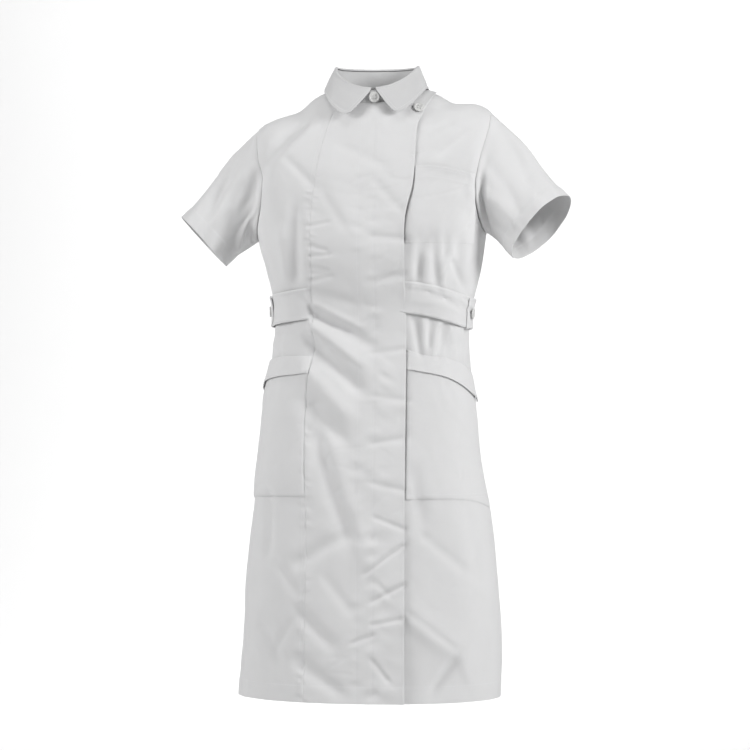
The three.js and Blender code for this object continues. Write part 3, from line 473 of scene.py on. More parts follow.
class Cloth:
    """One cut piece of cloth: a grid of outer points with its outward directions and its flat places."""

    def __init__(self, name, outer, u, v, thick, area, closed=False):
        self.name, self.outer, self.u, self.v = name, outer, u, v
        self.thick, self.area, self.closed = thick, area, closed
        self.normal = grid_normals(outer, closed)

    def at(self, rows, columns):
        """Points and outward directions at some fractional places of the grid."""
        rows, columns = np.broadcast_arrays(np.asarray(rows, float), np.asarray(columns, float))
        row = np.clip(rows.astype(int), 0, self.outer.shape[0] - 2)
        column = np.clip(columns.astype(int), 0, self.outer.shape[1] - 2)
        a, b = (rows - row)[..., None], (columns - column)[..., None]
        found = []
        for grid in (self.outer, self.normal):
            low = grid[row, column] * (1 - b) + grid[row, column + 1] * b
            high = grid[row + 1, column] * (1 - b) + grid[row + 1, column + 1] * b
            found.append(low * (1 - a) + high * a)
        return found[0], unit(found[1])

    def upright(self, distance, from_end=False, high=None):
        """A line up the piece at a distance from its first or last edge."""
        rows = np.arange(high or len(self.outer))
        columns = []
        for across in self.u[rows]:
            target = across[-1] - distance if from_end else across[0] + distance
            columns.append(np.interp(target, across, np.arange(len(across))))
        return self.at(rows, columns)

    def level(self, height, left=0):
        """A line across the piece at a flat height: one height, or one for each column."""
        columns = np.arange(left, self.outer.shape[1])
        heights = np.broadcast_to(height, columns.shape)
        rows = [np.interp(at, up, np.arange(len(up))) for at, up in zip(heights, self.v[:, columns].T)]
        return self.at(rows, columns)


def flat_area(points):
    a = np.cross(points[1:, 1:] - points[:-1, :-1], points[1:, :-1] - points[:-1, 1:])
    return float(np.linalg.norm(a, axis=-1).sum() / 2) * 1e-6


def body_cloth(name, angle, rise, out, detail, thick=1.0):
    """A piece that lies on the body. detail gives extra moves from flat places."""
    angle, rise = np.broadcast_arrays(angle, rise)
    point = body_point(angle, rise)
    across = arc_lengths(point)
    x, z = point[..., 0], point[..., 2]
    creases = np.where(np.sin(angle) > 0, line_folds(BACK_CREASES, x, z), line_folds(FRONT_CREASES, x, z))
    folds = folds_at(angle, point) + CREASE_GAIN * creases * under_belt(angle, z, GATHER_PRESS)
    end, low = across[:, -1:] - across, body_crumple(angle, rise)
    extra = detail(x=x, z=z, rise=rise, start=across, end=end, low=low)
    move = out + folds * side_fade(angle) * neck_fade(rise) + extra
    outer = point + body_normal(angle, rise) * move[..., None]
    order = 1 if angle[0, 0] < angle[0, -1] else -1
    outer, across, rise = outer[:, ::order], across[:, ::order], rise[:, ::order]
    return Cloth(name, outer, across, rise, thick, flat_area(point))


def grid_normals(grid, closed=False):
    if closed:
        around = np.roll(grid, -1, axis=1) - np.roll(grid, 1, axis=1)
    else:
        around = np.gradient(grid, axis=1)
    up = np.gradient(grid, axis=0)
    return unit(np.cross(around, up))


def make_mesh(name, points, faces, uvs=None, sharp=50):
    """A mesh object in metres, from points in millimetres."""
    mesh = bpy.data.meshes.new(name)
    mesh.from_pydata((np.asarray(points) * MM).tolist(), [], faces)
    mesh.validate()
    if uvs is not None:
        layer = mesh.uv_layers.new(name="UVMap")
        corners = np.zeros(len(mesh.loops), int)
        mesh.loops.foreach_get("vertex_index", corners)
        layer.data.foreach_set("uv", (np.asarray(uvs)[corners] * MM).ravel())
    mesh.shade_smooth()
    mesh.set_sharp_from_angle(angle=math.radians(sharp))
    made = bpy.data.objects.new(name, mesh)
    bpy.context.scene.collection.objects.link(made)
    return made


def grid_faces(index, closed=False):
    """Faces between the rows and columns of a grid of point numbers."""
    if closed:
        index = np.concatenate([index, index[:, :1]], axis=1)
    corners = [index[:-1, :-1], index[:-1, 1:], index[1:, 1:], index[1:, :-1]]
    return np.stack(corners, axis=-1).reshape(-1, 4)


def shell(cloth):
    """Closed thin wall of a piece: its outer points, its inner ones and the edge between them."""
    rows, columns = cloth.outer.shape[:2]
    inner = cloth.outer - cloth.normal * cloth.thick
    points = np.concatenate([cloth.outer.reshape(-1, 3), inner.reshape(-1, 3)])
    uvs = np.tile(np.stack([cloth.u, cloth.v], axis=-1).reshape(-1, 2), (2, 1))
    index = np.arange(rows * columns).reshape(rows, columns)
    behind = rows * columns
    front = grid_faces(index, cloth.closed)
    back = front[:, ::-1] + behind
    if cloth.closed:
        index = np.concatenate([index, index[:, :1]], axis=1)

    def rim(line):
        first, then = line[:-1], line[1:]
        return np.stack([then, first, first + behind, then + behind], axis=1)

    rims = [rim(index[0]), rim(index[-1][::-1])]
    if not cloth.closed:
        rims += [rim(index[:, 0][::-1]), rim(index[:, -1])]
    faces = np.concatenate([front, back, *rims]).tolist()
    return make_mesh(cloth.name, points, faces, uvs)


# Cross section of a stitch, and its ten points as reach, across, height and dive into the cloth
STITCH_RING = [(1, 0), (0, 1), (-1, 0), (0, -0.3)]
STITCH_POINTS = [
    (-0.5, 0, 0, -0.15),
    *[(reach, *corner, 0) for reach in (-0.32, 0.32) for corner in STITCH_RING],
    (0.5, 0, 0, -0.15),
]


def stitches(name, lines, lift=0.05):
    """Rows of thread: short stitches with tapered ends, joined in one mesh."""
    points, faces = [], []
    offset = 0
    for places, normals in lines:
        length = np.concatenate([[0], np.cumsum(np.linalg.norm(np.diff(places, axis=0), axis=1))])
        count = int(length[-1] / STITCH_PITCH)
        middles = (np.arange(count) + 0.5) * STITCH_PITCH

        def along(values, at):
            return np.stack([np.interp(at, length, values[:, axis]) for axis in range(3)], axis=-1)

        up = unit(along(normals, middles))
        run = unit(along(places, middles + 0.6) - along(places, middles - 0.6))
        side = np.cross(up, run) * STITCH_BREADTH / 2
        for reach, across, height, dive in STITCH_POINTS:
            high = lift + dive + height * STITCH_HEIGHT
            points.append(along(places, middles) + run * (reach * STITCH_LENGTH) + side * across + up * high)
        index = offset + np.arange(10 * count).reshape(10, count)
        offset += 10 * count
        tip, low, high, tail = index[0], index[1:5], index[5:9], index[9]
        for k in range(4):
            after = (k + 1) % 4
            faces += np.stack([tip, low[after], low[k]], axis=1).tolist()
            faces += np.stack([low[k], low[after], high[after], high[k]], axis=1).tolist()
            faces += np.stack([tail, high[k], high[after]], axis=1).tolist()
    return make_mesh(name, np.concatenate(points), faces, sharp=80)


# Panels of the body

ROW_STEP = 3.1
RISES = body_rises(ROW_STEP)[:, None]
CENTRE_COLUMNS = (165, 2.7)
SEAM_DIP = 0.55
PRINCESS_DIP = 0.22
SEAM_RAISE = 0.35
SEAM_RIDE = 1.5
SEAM_DIP_REACH = 1.1
ALLOWANCE_RAISE = 0.55
UNDERARM_HOLLOW = 4.0
# Where the right hip pocket is caught in the princess seam, and how far up and down the belt is
CAUGHT_FROM = 326
CAUGHT_TO = 566
BELT_CAUGHT = 42


def seam_dip(distance, depth=SEAM_DIP):
    return -depth * bell(distance, SEAM_DIP_REACH)


def seam_ridge(distance, breadth=7.0):
    """The thickness of the turnings inside a topstitched seam."""
    return SEAM_RAISE * smooth((distance - 0.3) / 3) * smooth((breadth + 2 - distance) / 3.5)


def below_chest(rise):
    return 0.25 + 0.75 * smooth((900 - rise) / 60)


def in_pocket(rise):
    """One where the right hip pocket and its belt tab are caught in the princess seam, else none."""
    pocket = smooth((rise - CAUGHT_FROM) / 10) * smooth((CAUGHT_TO - rise) / 10)
    return np.maximum(pocket, smooth((BELT_CAUGHT - np.abs(rise - WAIST_RISE)) / 16))


def hem(start, rise, seed):
    """Double cloth below the hem stitch, and the small ripples of its stitching."""
    double = HEM_RAISE * smooth((HEM_STITCH + 1 - rise) / 2.5)
    return double + puckers(start, rise - HEM_STITCH, seed, 9, 9, 0.5)


def spread_angles(first, last, shares):
    return first + (last - first) * shares[None, :]


def front_right_centre():
    shares = seam_columns(*CENTRE_COLUMNS)
    angle = spread_angles(off_seam(princess_angle(RISES), RISES, SEAM_HALF), closure_angle(RISES), shares)

    def detail(x, z, rise, start, end, low):
        seam = seam_dip(start, PRINCESS_DIP) + SEAM_RIDE * in_pocket(rise) * bell(start, 14)
        seam = seam + puckers(rise, start - 3, 21, 7, 8, 1.6) * smooth(start / 2) * below_chest(rise)
        placket = 0
        for line, seed, depth in ((PLACKET_LINES[0], 31, 2.6), (PLACKET_LINES[1], 37, 1.9)):
            placket = placket + puckers(rise, x - line, seed, 14, 11, depth)
            placket = placket - 0.35 * bell(x - line, 1.8)
        below_collar = smooth((985 - rise) / 90)
        band = puckers(rise, x - 36, 43, 19, 17, 2.4) + puckers(rise + 0.5 * x, x - 30, 47, 11, 12, 1.5)
        placket = placket + band * (0.35 + 0.65 * smooth((620 - rise) / 60))
        edge = puckers(rise, end - 2, 41, 21, 16, 1.2) - 0.5 * bell(end, 0.9)
        return low + seam + placket * below_collar + edge + hem(start, rise, 51)

    return body_cloth("front_right_centre", angle, RISES, overlap_out(angle, RISES), detail, thick=1.3)


def front_right_side():
    shares = seam_columns(125, 2.9)
    angle = spread_angles(right_front_edge(RISES), off_seam(princess_angle(RISES), RISES, -SEAM_HALF), shares)

    def detail(x, z, rise, start, end, low):
        seam = seam_ridge(end) + puckers(rise, end - 4, 61, 7.5, 8, 1.5) * smooth(end / 2)
        seam = seam_dip(end, PRINCESS_DIP) + seam * below_chest(rise)
        side = seam_dip(start) + puckers(rise, start, 67, 15, 8, 0.45)
        return low + seam + side + hem(start, rise, 52)

    return body_cloth("front_right_side", angle, RISES, 0, detail)


def front_left():
    shares = seam_columns(215, 2.8)
    angle = spread_angles(front_angle(UNDERLAP_X, RISES), left_front_edge(RISES), shares)
    sunk = -UNDERLAP_SINK * np.maximum(0, 1 - shares / UNDERLAP_PART)

    def detail(x, z, rise, start, end, low):
        side = seam_dip(end) + puckers(rise, end, 71, 14, 8, 0.45)
        hollow = smooth((rise - 762) / 30) * smooth((872 - rise) / 60)
        side = side - UNDERARM_HOLLOW * hollow * bell(end - 10, 7)
        return side + (low + hem(start, rise, 53)) * smooth(start / 60)

    return body_cloth("front_left", angle, RISES, sunk, detail)


def back():
    rises = body_rises(3.6)[:, None]
    shares = seam_columns(500, 4.3)
    angle = spread_angles(left_back_edge(rises), right_back_edge(rises), shares)

    def detail(x, z, rise, start, end, low):
        sides = seam_dip(start) + seam_dip(end)
        ripple = puckers(rise, start, 81, 15, 8, 0.5) + puckers(rise, end, 83, 15, 8, 0.5)
        return low + sides + ripple + hem(start, rise, 54)

    return body_cloth("back", angle, rises, 0, detail)


# Patches that lie on the front

HIP_POCKET_RIGHT = table(
    ["part", "mouthZ", "bandZ", "bottomZ"],
    [[0, -434, -463, -662], [0.4, -435, -468, -663], [0.75, -442, -477, -666], [1, -456, -492, -670]],
)
HIP_POCKET_LEFT = table(
    ["part", "mouthZ", "bandZ", "bottomZ"],
    [
        [0, -424, -456, -666], [0.2, -434, -462, -666], [0.4, -436, -469, -667], [0.6, -443, -481, -670],
        [0.8, -453, -496, -676], [1, -464, -510, -684],
    ],
)
CHEST_POCKET = table(
    ["part", "mouthZ", "bottomZ"], [[0, -126, -252], [0.35, -126.5, -252], [0.7, -132, -252], [1, -138, -252]]
)
CHEST_POCKET_SIDE_X = 168.0
CHEST_POCKET_GAP = 1.5
CHEST_BAND = 24.0
CHEST_HEIGHT = 122.0
POCKET_OUT = 2.8
BAND_OUT = 5.1
POCKET_SEAM_INSET = 1.2
SEAM_TOUCH = 0.3
POCKET_CLOSURE_GAP = 0.8
POCKET_SINK = 1.3
BAND_SINK = 2.2
POCKET_FOOT_SINK = 0.9
BAND_FLARE = 1.7
BAND_HEAD_SINK = 1.1
CHEST_FOOT_SINK = 2.3
CHEST_STITCHES = (2.5, 8.0, CHEST_BAND)


def patch_grid(shape, low, high, columns, rows):
    """Shares across and up a patch, and the rises between its two edges."""
    across = seam_columns(*columns)[None, :]
    up = seam_columns(*rows)[:, None]
    low_z = read_curve(shape, "part", low, across)
    high_z = read_curve(shape, "part", high, across)
    return across, up, low_z + (high_z - low_z) * up - HEM_Z


# Creases of the belt on the left, as x0, z0, x1, z1, half breadth, depth
BELT_CREASES = [
    [66, -326, 97, -331, 3.2, -1.3], [97, -331, 121, -340, 3.5, -1.7], [121, -340, 138, -354, 3.5, -1.8],
    [104, -345, 128, -356, 5, 1.2], [134, -335, 150, -349, 4, 1.3], [143, -347, 156, -363, 3, -1.5],
    [74, -343, 100, -349, 5, 0.8], [-112, -335, -96, -360, 5, -0.9], [-148, -338, -140, -366, 5, -1],
]


def sewn_down(distance, depth, reach):
    """How far a patch sinks to the cloth below it near an edge that is caught in a seam."""
    return -depth * bell(distance, reach)


def rounded_edges(start, end, foot, head, sewn=0.9, free=0.5):
    """Edges of a patch: pulled down where they are sewn, turned over where they are free."""
    nearest = np.minimum(np.minimum(start, end), foot)
    return -sewn * bell(nearest, 1.3) - free * bell(head, 0.9)


def pocket_cloth(name, shape, sides, low, size, out, seed, band=False):
    width, height = size
    first, last = sides
    across, up, rise = patch_grid(shape, low, "mouthZ", (width, 3.0), (height, 3.0))
    angle = first(rise) + (last(rise) - first(rise)) * across

    def detail(x, z, rise, start, end, low):
        foot, head, sides = up * height, (1 - up) * height, np.minimum(start, end)
        dips = rounded_edges(start, end, foot + (4 if band else 0), head)
        if band:
            toward_side = start / (start + end)
            dips = dips + BAND_FLARE * bell(foot, 9) * (0.45 + 0.55 * toward_side)
            dips = dips + sewn_down(head, BAND_HEAD_SINK, 6) + sewn_down(sides, BAND_SINK, 8)
        else:
            dips = dips + sewn_down(sides, POCKET_SINK, 5) + sewn_down(foot, POCKET_FOOT_SINK, 4)
        along = puckers(rise, start - 3, seed, 8, 7, 1.0) + puckers(rise, end - 2, seed + 1, 12, 7, 0.6)
        across_foot = puckers(start, foot - 2, seed + 2, 11, 7, 0.6)
        return low + dips + along + across_foot + ALLOWANCE_RAISE * bell(sides - 3, 2.6)

    return body_cloth(name, angle, rise, out, detail)


def seam_at(find_angle, distance):
    """The angle at a distance from a seam, as a function of the rise."""
    return lambda rise: off_seam(find_angle(rise), rise, distance)


RIGHT_SIDES = (seam_at(princess_angle, -SEAM_TOUCH), seam_at(lambda rise: math.pi, POCKET_SEAM_INSET))
LEFT_SIDES = (seam_at(closure_angle, POCKET_CLOSURE_GAP), seam_at(lambda rise: TURN, -POCKET_SEAM_INSET))
# Patches on the hips: shape, sides, lower edge, breadth and height, how far out, seed, and whether it is a band
HIP_PATCHES = {
    "hip_pocket_right": (HIP_POCKET_RIGHT, RIGHT_SIDES, "bottomZ", (112, 225), POCKET_OUT, 101),
    "hip_pocket_left": (HIP_POCKET_LEFT, LEFT_SIDES, "bottomZ", (170, 235), POCKET_OUT, 111),
    "pocket_band_right": (HIP_POCKET_RIGHT, RIGHT_SIDES, "bandZ", (112, 32), BAND_OUT, 121, True),
    "pocket_band_left": (HIP_POCKET_LEFT, LEFT_SIDES, "bandZ", (170, 36), BAND_OUT, 131, True),
}


def front_rise(x, z):
    """Rise on the front of a place given by its distance from the middle and its height."""
    low = np.zeros_like(x + z)
    high = low + NECK_RISE
    for _ in range(40):
        middle = (low + high) / 2
        below = body_point(front_angle(x, middle), middle)[..., 2] < z
        low = np.where(below, middle, low)
        high = np.where(below, high, middle)
    return (low + high) / 2


def chest_pocket():
    across, up, flat_rise = patch_grid(CHEST_POCKET, "bottomZ", "mouthZ", (108, 2.8), (CHEST_HEIGHT, 2.8))
    z = flat_rise + HEM_Z
    edge_rise = front_rise(UNDERLAP_X, z)
    from_x = read_curve(CLOSURE_EDGE, "rise", "x", edge_rise) + CHEST_POCKET_GAP
    x = from_x + (CHEST_POCKET_SIDE_X - from_x) * across
    rise = front_rise(x, z)

    def detail(x, z, rise, start, end, low):
        foot, head = up * CHEST_HEIGHT, (1 - up) * CHEST_HEIGHT
        dips = rounded_edges(start, end, foot + 1, head, sewn=0.7) + sewn_down(foot, CHEST_FOOT_SINK, 16)
        mouth = puckers(start, head - 9, 141, 13, 6, 0.5) + 0.5 * smooth((CHEST_BAND - head) / 3)
        sag = 2.6 * bell(head, 10) * smooth(start / 40) * smooth(end / 12)
        bulge = 2.2 * bell(end - 9, 9) * bell(head - 34, 22)
        return low + dips + mouth + sag + bulge + puckers(rise, end - 3, 143, 12, 8, 0.7)

    return body_cloth("chest_pocket", front_angle(x, rise), rise, POCKET_OUT, detail, thick=0.5)


# Belts

TAB_SINK = 1.8
TAB_LEFT_SINK = 1.6
TAB_TUCK = 9.0


def belt_cloth(name, first, last, length, bow, seed, sewn=0.0, thick=CLOTH, tilted=1.0):
    part = seam_columns(length, 3.0)[None, :]
    height = seam_columns(2 * BELT_HALF, 3.2)[:, None] * 2 - 1
    angle = first + (last - first) * part
    middle = read_curve(BELT_MIDDLE, "angle", "z", np.degrees(angle))
    rise = middle + BELT_HALF * height - HEM_Z

    def detail(x, z, rise, start, end, low):
        near = (1 - np.abs(height)) * BELT_HALF
        turned = -0.8 * bell(near, 1.0) + 0.35 * bell(near - 3.2, 2.2)
        ripple = puckers(start, near - 4, seed, 12, 5, 0.55)
        ripple = ripple + 0.5 * noise_plane(start / 23, rise / 19, seed + 4)
        ends = -0.7 * bell(np.minimum(start, end), 1.0) - sewn * smooth((16 - start) / 13)
        creases = np.where(np.sin(angle) < 0, line_folds(BELT_CREASES, x, z), 0)
        tilt = tilted * (0.6 * smooth(-height) - 1.4 * smooth((height + 0.3) / 1.1))
        return turned + ripple + ends + creases + tilt

    return body_cloth(name, angle, rise, bow(part), detail, thick)


def tab_bow(part):
    return BELT_OUT + BELT_SLACK * np.sin(math.pi * np.minimum(1, part / TAB_FREE_PART))


def back_belt_out(part):
    return BELT_OUT + LAYER + BACK_BELT_SLACK * np.sin(math.pi * part)


def belt_tab_right():
    first = off_seam(princess_angle(WAIST_RISE), WAIST_RISE, -SEAM_TOUCH)
    return belt_cloth("belt_tab_right", first, math.pi - BELT_TAB_END, 165, tab_bow, 151, TAB_SINK, 1.0)


def belt_tab_left():
    first = off_seam(closure_angle(WAIST_RISE), WAIST_RISE, -TAB_TUCK)
    return belt_cloth("belt_tab_left", first, TURN + BELT_TAB_END, 195, tab_bow, 161, TAB_LEFT_SINK, 1.0)


def belt_back():
    ends = (-BACK_BELT_END, math.pi + BACK_BELT_END)
    return belt_cloth("belt_back", *ends, 500, back_belt_out, 171, tilted=0.4)


# Sleeves

# Side, middle of the cuff, its half height and half depth, and the waviness of its edge
SLEEVES = [
    ("sleeve_right", -1, (-289, -20, -243), 55, 53, 1.6),
    ("sleeve_left", 1, (277, -50, -225), 66, 50, 4.2),
]
SLEEVE_FULLNESS = 0.34
CAP_FULLNESS = 0.14
CAP_SPREAD = 2.4
CAP_RISE = 0.45
UNDERARM_SPREAD = 0.5
UNDERARM_GAP = 0.2
SLEEVE_SEAM_GAP = 0.05
SLEEVE_ROUND = 132
CUFF_WAVE_PITCH = 22.0
SLEEVE_ROWS = 74
SLEEVE_RADIUS = 55.0
SLEEVE_LENGTH = 150.0
# Folds of the sleeves: turn and part of the length at both ends, half breadth in mm, depth
SLEEVE_FOLDS = {
    "sleeve_right": [
        [0.55, 0.05, 1.0, 0.55, 10, -3.2], [1.0, 0.02, 1.6, 0.35, 8, 2.4], [1.6, 0.2, 2.3, 1.0, 17, -9],
        [2.2, 0.22, 2.6, 1.0, 18, -12], [1.15, 0.35, 1.6, 1.0, 12, 4], [2.0, 0.05, 2.75, 0.5, 8, 5],
        [2.3, 0.04, 2.9, 0.12, 7, -5], [0.9, 0.5, 1.5, 0.95, 10, -2.2], [-0.6, 0.05, -1.1, 0.6, 10, -3],
        [-1.6, 0.1, -2.2, 0.8, 11, -4], [0.2, 0.3, 0.8, 0.95, 11, 2],
    ],
    "sleeve_left": [
        [0.5, 0.05, 0.9, 0.6, 9, -2.6], [1.2, 0.1, 1.5, 0.6, 9, -3], [1.55, 0.03, 2.6, 0.1, 9, -8],
        [2.0, 0.08, 2.75, 0.2, 10, -6], [1.8, 0.2, 1.9, 0.75, 9, 2.6], [2.25, 0.3, 2.2, 0.85, 8, -3.2],
        [-0.7, 0.05, -1.2, 0.6, 10, -3], [-1.7, 0.1, -2.1, 0.8, 11, -4], [0.1, 0.35, 0.6, 0.95, 11, 2],
    ],
}


def armhole_spot(turn, side):
    rise = SHOULDER_TIP_RISE + (ARMPIT_RISE - SHOULDER_TIP_RISE) * (1 - np.cos(turn)) / 2
    bend = np.where(np.sin(turn) > 0, ARMHOLE_FRONT, ARMHOLE_BACK) * np.sin(turn)
    angle = -bend if side > 0 else math.pi + bend
    return np.mod(angle, TURN), rise


def folded_point(angle, rise):
    point = body_point(angle, rise)
    folds = folds_at(angle, point) * side_fade(angle) * neck_fade(rise) + body_crumple(angle, rise)
    return point + body_normal(angle, rise) * folds[..., None]


def sleeve(name, side, cuff, out_half, deep_half, cuff_wave):
    turn = np.linspace(0, TURN, SLEEVE_ROUND, endpoint=False)
    angle, rise = armhole_spot(turn, side)
    point, normal = folded_point(angle, rise), body_normal(angle, rise)
    along = folded_point(*armhole_spot(turn + 0.05, side)) - folded_point(*armhole_spot(turn - 0.05, side))
    across = unit(np.cross(along, normal)) * -side
    end = np.array(cuff, float)
    axis = unit(end - point.mean(axis=0))
    forward = unit(np.array([0, -1, 0]) + axis * axis[1])
    upward = unit(np.cross(axis, forward) * -side)
    gap = SLEEVE_SEAM_GAP + UNDERARM_GAP * (1 - np.cos(turn))
    start = point + across * gap[:, None]
    finish = end + upward * (out_half * np.cos(turn))[:, None] + forward * (deep_half * np.sin(turn))[:, None]
    length = np.linalg.norm(finish - start, axis=1)
    top = (1 + np.cos(turn)) / 2
    lift = UNDERARM_SPREAD + (CAP_RISE - UNDERARM_SPREAD) * top
    leave = unit(axis + across * (CAP_SPREAD * top)[:, None] + normal * lift[:, None])
    near = start + leave * (length * (SLEEVE_FULLNESS + CAP_FULLNESS * top))[:, None]
    far = finish - axis * (length * SLEEVE_FULLNESS)[:, None]
    part = np.linspace(0, 1, SLEEVE_ROWS)[:, None, None]
    rest = 1 - part
    grid = start * rest**3 + near * 3 * part * rest**2 + far * 3 * part**2 * rest + finish * part**3
    order = 1 if side > 0 else -1
    grid, turn = grid[:, ::order], turn[::order]
    outward = grid_normals(grid, closed=True)
    share = part[:, :, 0]
    down, left = share * length[::order], (1 - share) * length[::order]
    turn_half = np.mod(turn + math.pi, TURN) - math.pi
    around, along = np.broadcast_arrays(SLEEVE_RADIUS * turn_half, SLEEVE_LENGTH * share)
    scales = (SLEEVE_RADIUS, SLEEVE_LENGTH, SLEEVE_RADIUS, SLEEVE_LENGTH, 1, 1)
    move = line_folds(np.array(SLEEVE_FOLDS[name]) * scales, around, along) * smooth(down / 12)
    move += seam_dip(down) + puckers(around, down - 2, 181 + side, 9, 9, 0.8) * smooth(down / 2)
    move += crumple(around, down, 191 + side) * smooth(down / 20)
    move += CUFF_RAISE * smooth((CUFF_STITCH + 1 - left) / 2.5)
    move += puckers(around, left - CUFF_STITCH, 195 + side, 9, 8, 1.0)
    move += puckers(around, left, 197 + side, CUFF_WAVE_PITCH, 24, cuff_wave)
    area = flat_area(np.concatenate([grid, grid[:, :1]], axis=1))
    made = Cloth(name, grid + outward * move[..., None], around, down, 1.2, area, closed=True)
    made.left = left
    return made


# Collar

STAND_TOP = 0.982
STAND_LAP = math.radians(9)
STAND_LAP_FROM = math.radians(270)
STAND_RADIUS = 68.0
STAND_HEIGHT = 32.0
FALL_LENGTH = 480.0
FALL_DROP = 58.0
FOLD_RADIUS = 1.5
FALL_SEAT = 1.2
FIRST_DROP_ROW = 11
FALL_TOP = (math.radians(269), math.radians(353.5))
FALL_BOTTOM = (math.radians(250.5), math.radians(317.5))
POINT_ROUND_ALONG = 0.024
POINT_ROUND_DOWN = 0.2


def stand_foot(angle):
    foot = collar_point(NECK_SEAM, angle)
    turn = np.mod(angle, TURN)
    neck = np.full_like(turn, NECK_RISE)
    overlapped = (turn > princess_angle(neck)) & (turn < closure_angle(neck))
    out = np.where(overlapped, overlap_out(turn, neck), 0)
    lifted = body_point(turn, neck) + body_normal(turn, neck) * out[..., None]
    foot[..., 2] = lifted[..., 2] + 0.1
    return foot


def collar_stand():
    turns = np.linspace(-STAND_LAP, TURN + STAND_LAP, 240)
    around, up = np.broadcast_arrays(STAND_RADIUS * turns, np.linspace(0, STAND_TOP, 12)[:, None])
    angle = FRONT - turns
    outward = neck_outward(angle)
    lap = LAYER * smooth((TURN - turns - STAND_LAP_FROM) / (TURN - STAND_LAP_FROM))
    low, high = stand_foot(angle), collar_point(FOLD_LINE, angle)
    grid = low + (high - low) * up[..., None] + outward * lap[:, None]
    move = 0.35 * noise_plane(around / 16, up * 2, 201) + puckers(around, up * 30, 203, 8, 8, 0.4)
    outer = grid + outward * move[..., None]
    return Cloth("collar_stand", outer[:, ::-1], around[:, ::-1], STAND_HEIGHT * up, CLOTH, flat_area(grid))


def fall_point(place, drop, turn=0.0):
    """A point of the fall. place runs round the neck, drop from the fold line to the free edge."""
    place, drop, turn = np.broadcast_arrays(place, drop, turn)
    near = np.minimum(place, 1 - place)
    across = np.maximum(0, 1 - near / POINT_ROUND_ALONG)
    along = np.maximum(0, 1 - (1 - drop) / POINT_ROUND_DOWN)
    reach = np.hypot(across, along)
    corner = (across > 0) & (along > 0)
    keep = np.where(corner, np.maximum(across, along) / np.maximum(reach, 1e-9), 1)
    kept = np.where(across > 0, POINT_ROUND_ALONG * (1 - across * keep), near)
    part = np.where(place < 0.5, kept, 1 - kept)
    down = np.where(along > 0, 1 - POINT_ROUND_DOWN * (1 - along * keep), drop)
    angle = (FALL_TOP[0] - FALL_TOP[1] * part) * (1 - down) + (FALL_BOTTOM[0] - FALL_BOTTOM[1] * part) * down
    visible = FOLD_RADIUS + CLOTH
    outward = neck_outward(angle)
    fold = collar_point(FOLD_LINE, angle) + outward * (FOLD_RADIUS + visible * np.cos(turn))[..., None]
    fold[..., 2] += FALL_SEAT + visible * np.sin(turn)
    return fold * (1 - down)[..., None] + collar_point(FALL_EDGE, angle) * down[..., None]


def collar_fall():
    ends = np.linspace(0, POINT_ROUND_ALONG, 12)
    middle = np.linspace(POINT_ROUND_ALONG, 1 - POINT_ROUND_ALONG, 190)[1:-1]
    places = np.concatenate([ends, middle, 1 - ends[::-1]])
    turns = np.linspace(math.pi, 0, 9)[:, None]
    drops = np.linspace(0, 1, 30)[1:, None]
    grid = np.concatenate([fall_point(places, 0, turns), fall_point(places, drops)])
    around, down = np.broadcast_arrays(FALL_LENGTH * places, FALL_DROP * np.concatenate([0 * turns, drops]))
    edge, ends_off = FALL_DROP - down, np.minimum(around, FALL_LENGTH - around)
    nearest = np.minimum(edge, ends_off)
    move = 0.8 * crumple(around, down, 211) * smooth(down / 15)
    move += 0.9 * bell(down - 26, 17) + 0.35 * bell(nearest - 4, 2.5) * smooth(down / 10)
    move += puckers(around, edge - 6, 213, 10, 5, 0.35) * smooth(ends_off / 8)
    outer = grid + grid_normals(grid) * move[..., None]
    return Cloth("collar_fall", outer, around, -down, 1.3, flat_area(grid))


# Buttons

BUTTON_RADIUS = 9.0
# The outside of a button up to its dish: how far in from the edge, and how high
BUTTON_RIM = [
    (BUTTON_RADIUS, 0), (0.6, 0), (0, 0.7), (0, 1.7), (0.35, 2.2), (1, 2.4), (1.8, 2.3), (2.6, 1.85),
]
BUTTON_DISH = 1.65
BUTTON_GAP = 1.2
BUTTON_HOLE_RADIUS = 1.1
BUTTON_HOLE_PLACE = 2.3
BUTTON_HOLE_DEPTH = 1.3
BUTTON_THREAD = 0.42
COLLAR_BUTTON_ANGLE = math.radians(273.3)
COLLAR_BUTTON_HEIGHT = 0.42
CORNER_BUTTON_X = 76.5
CORNER_BUTTON_Z = -30.0


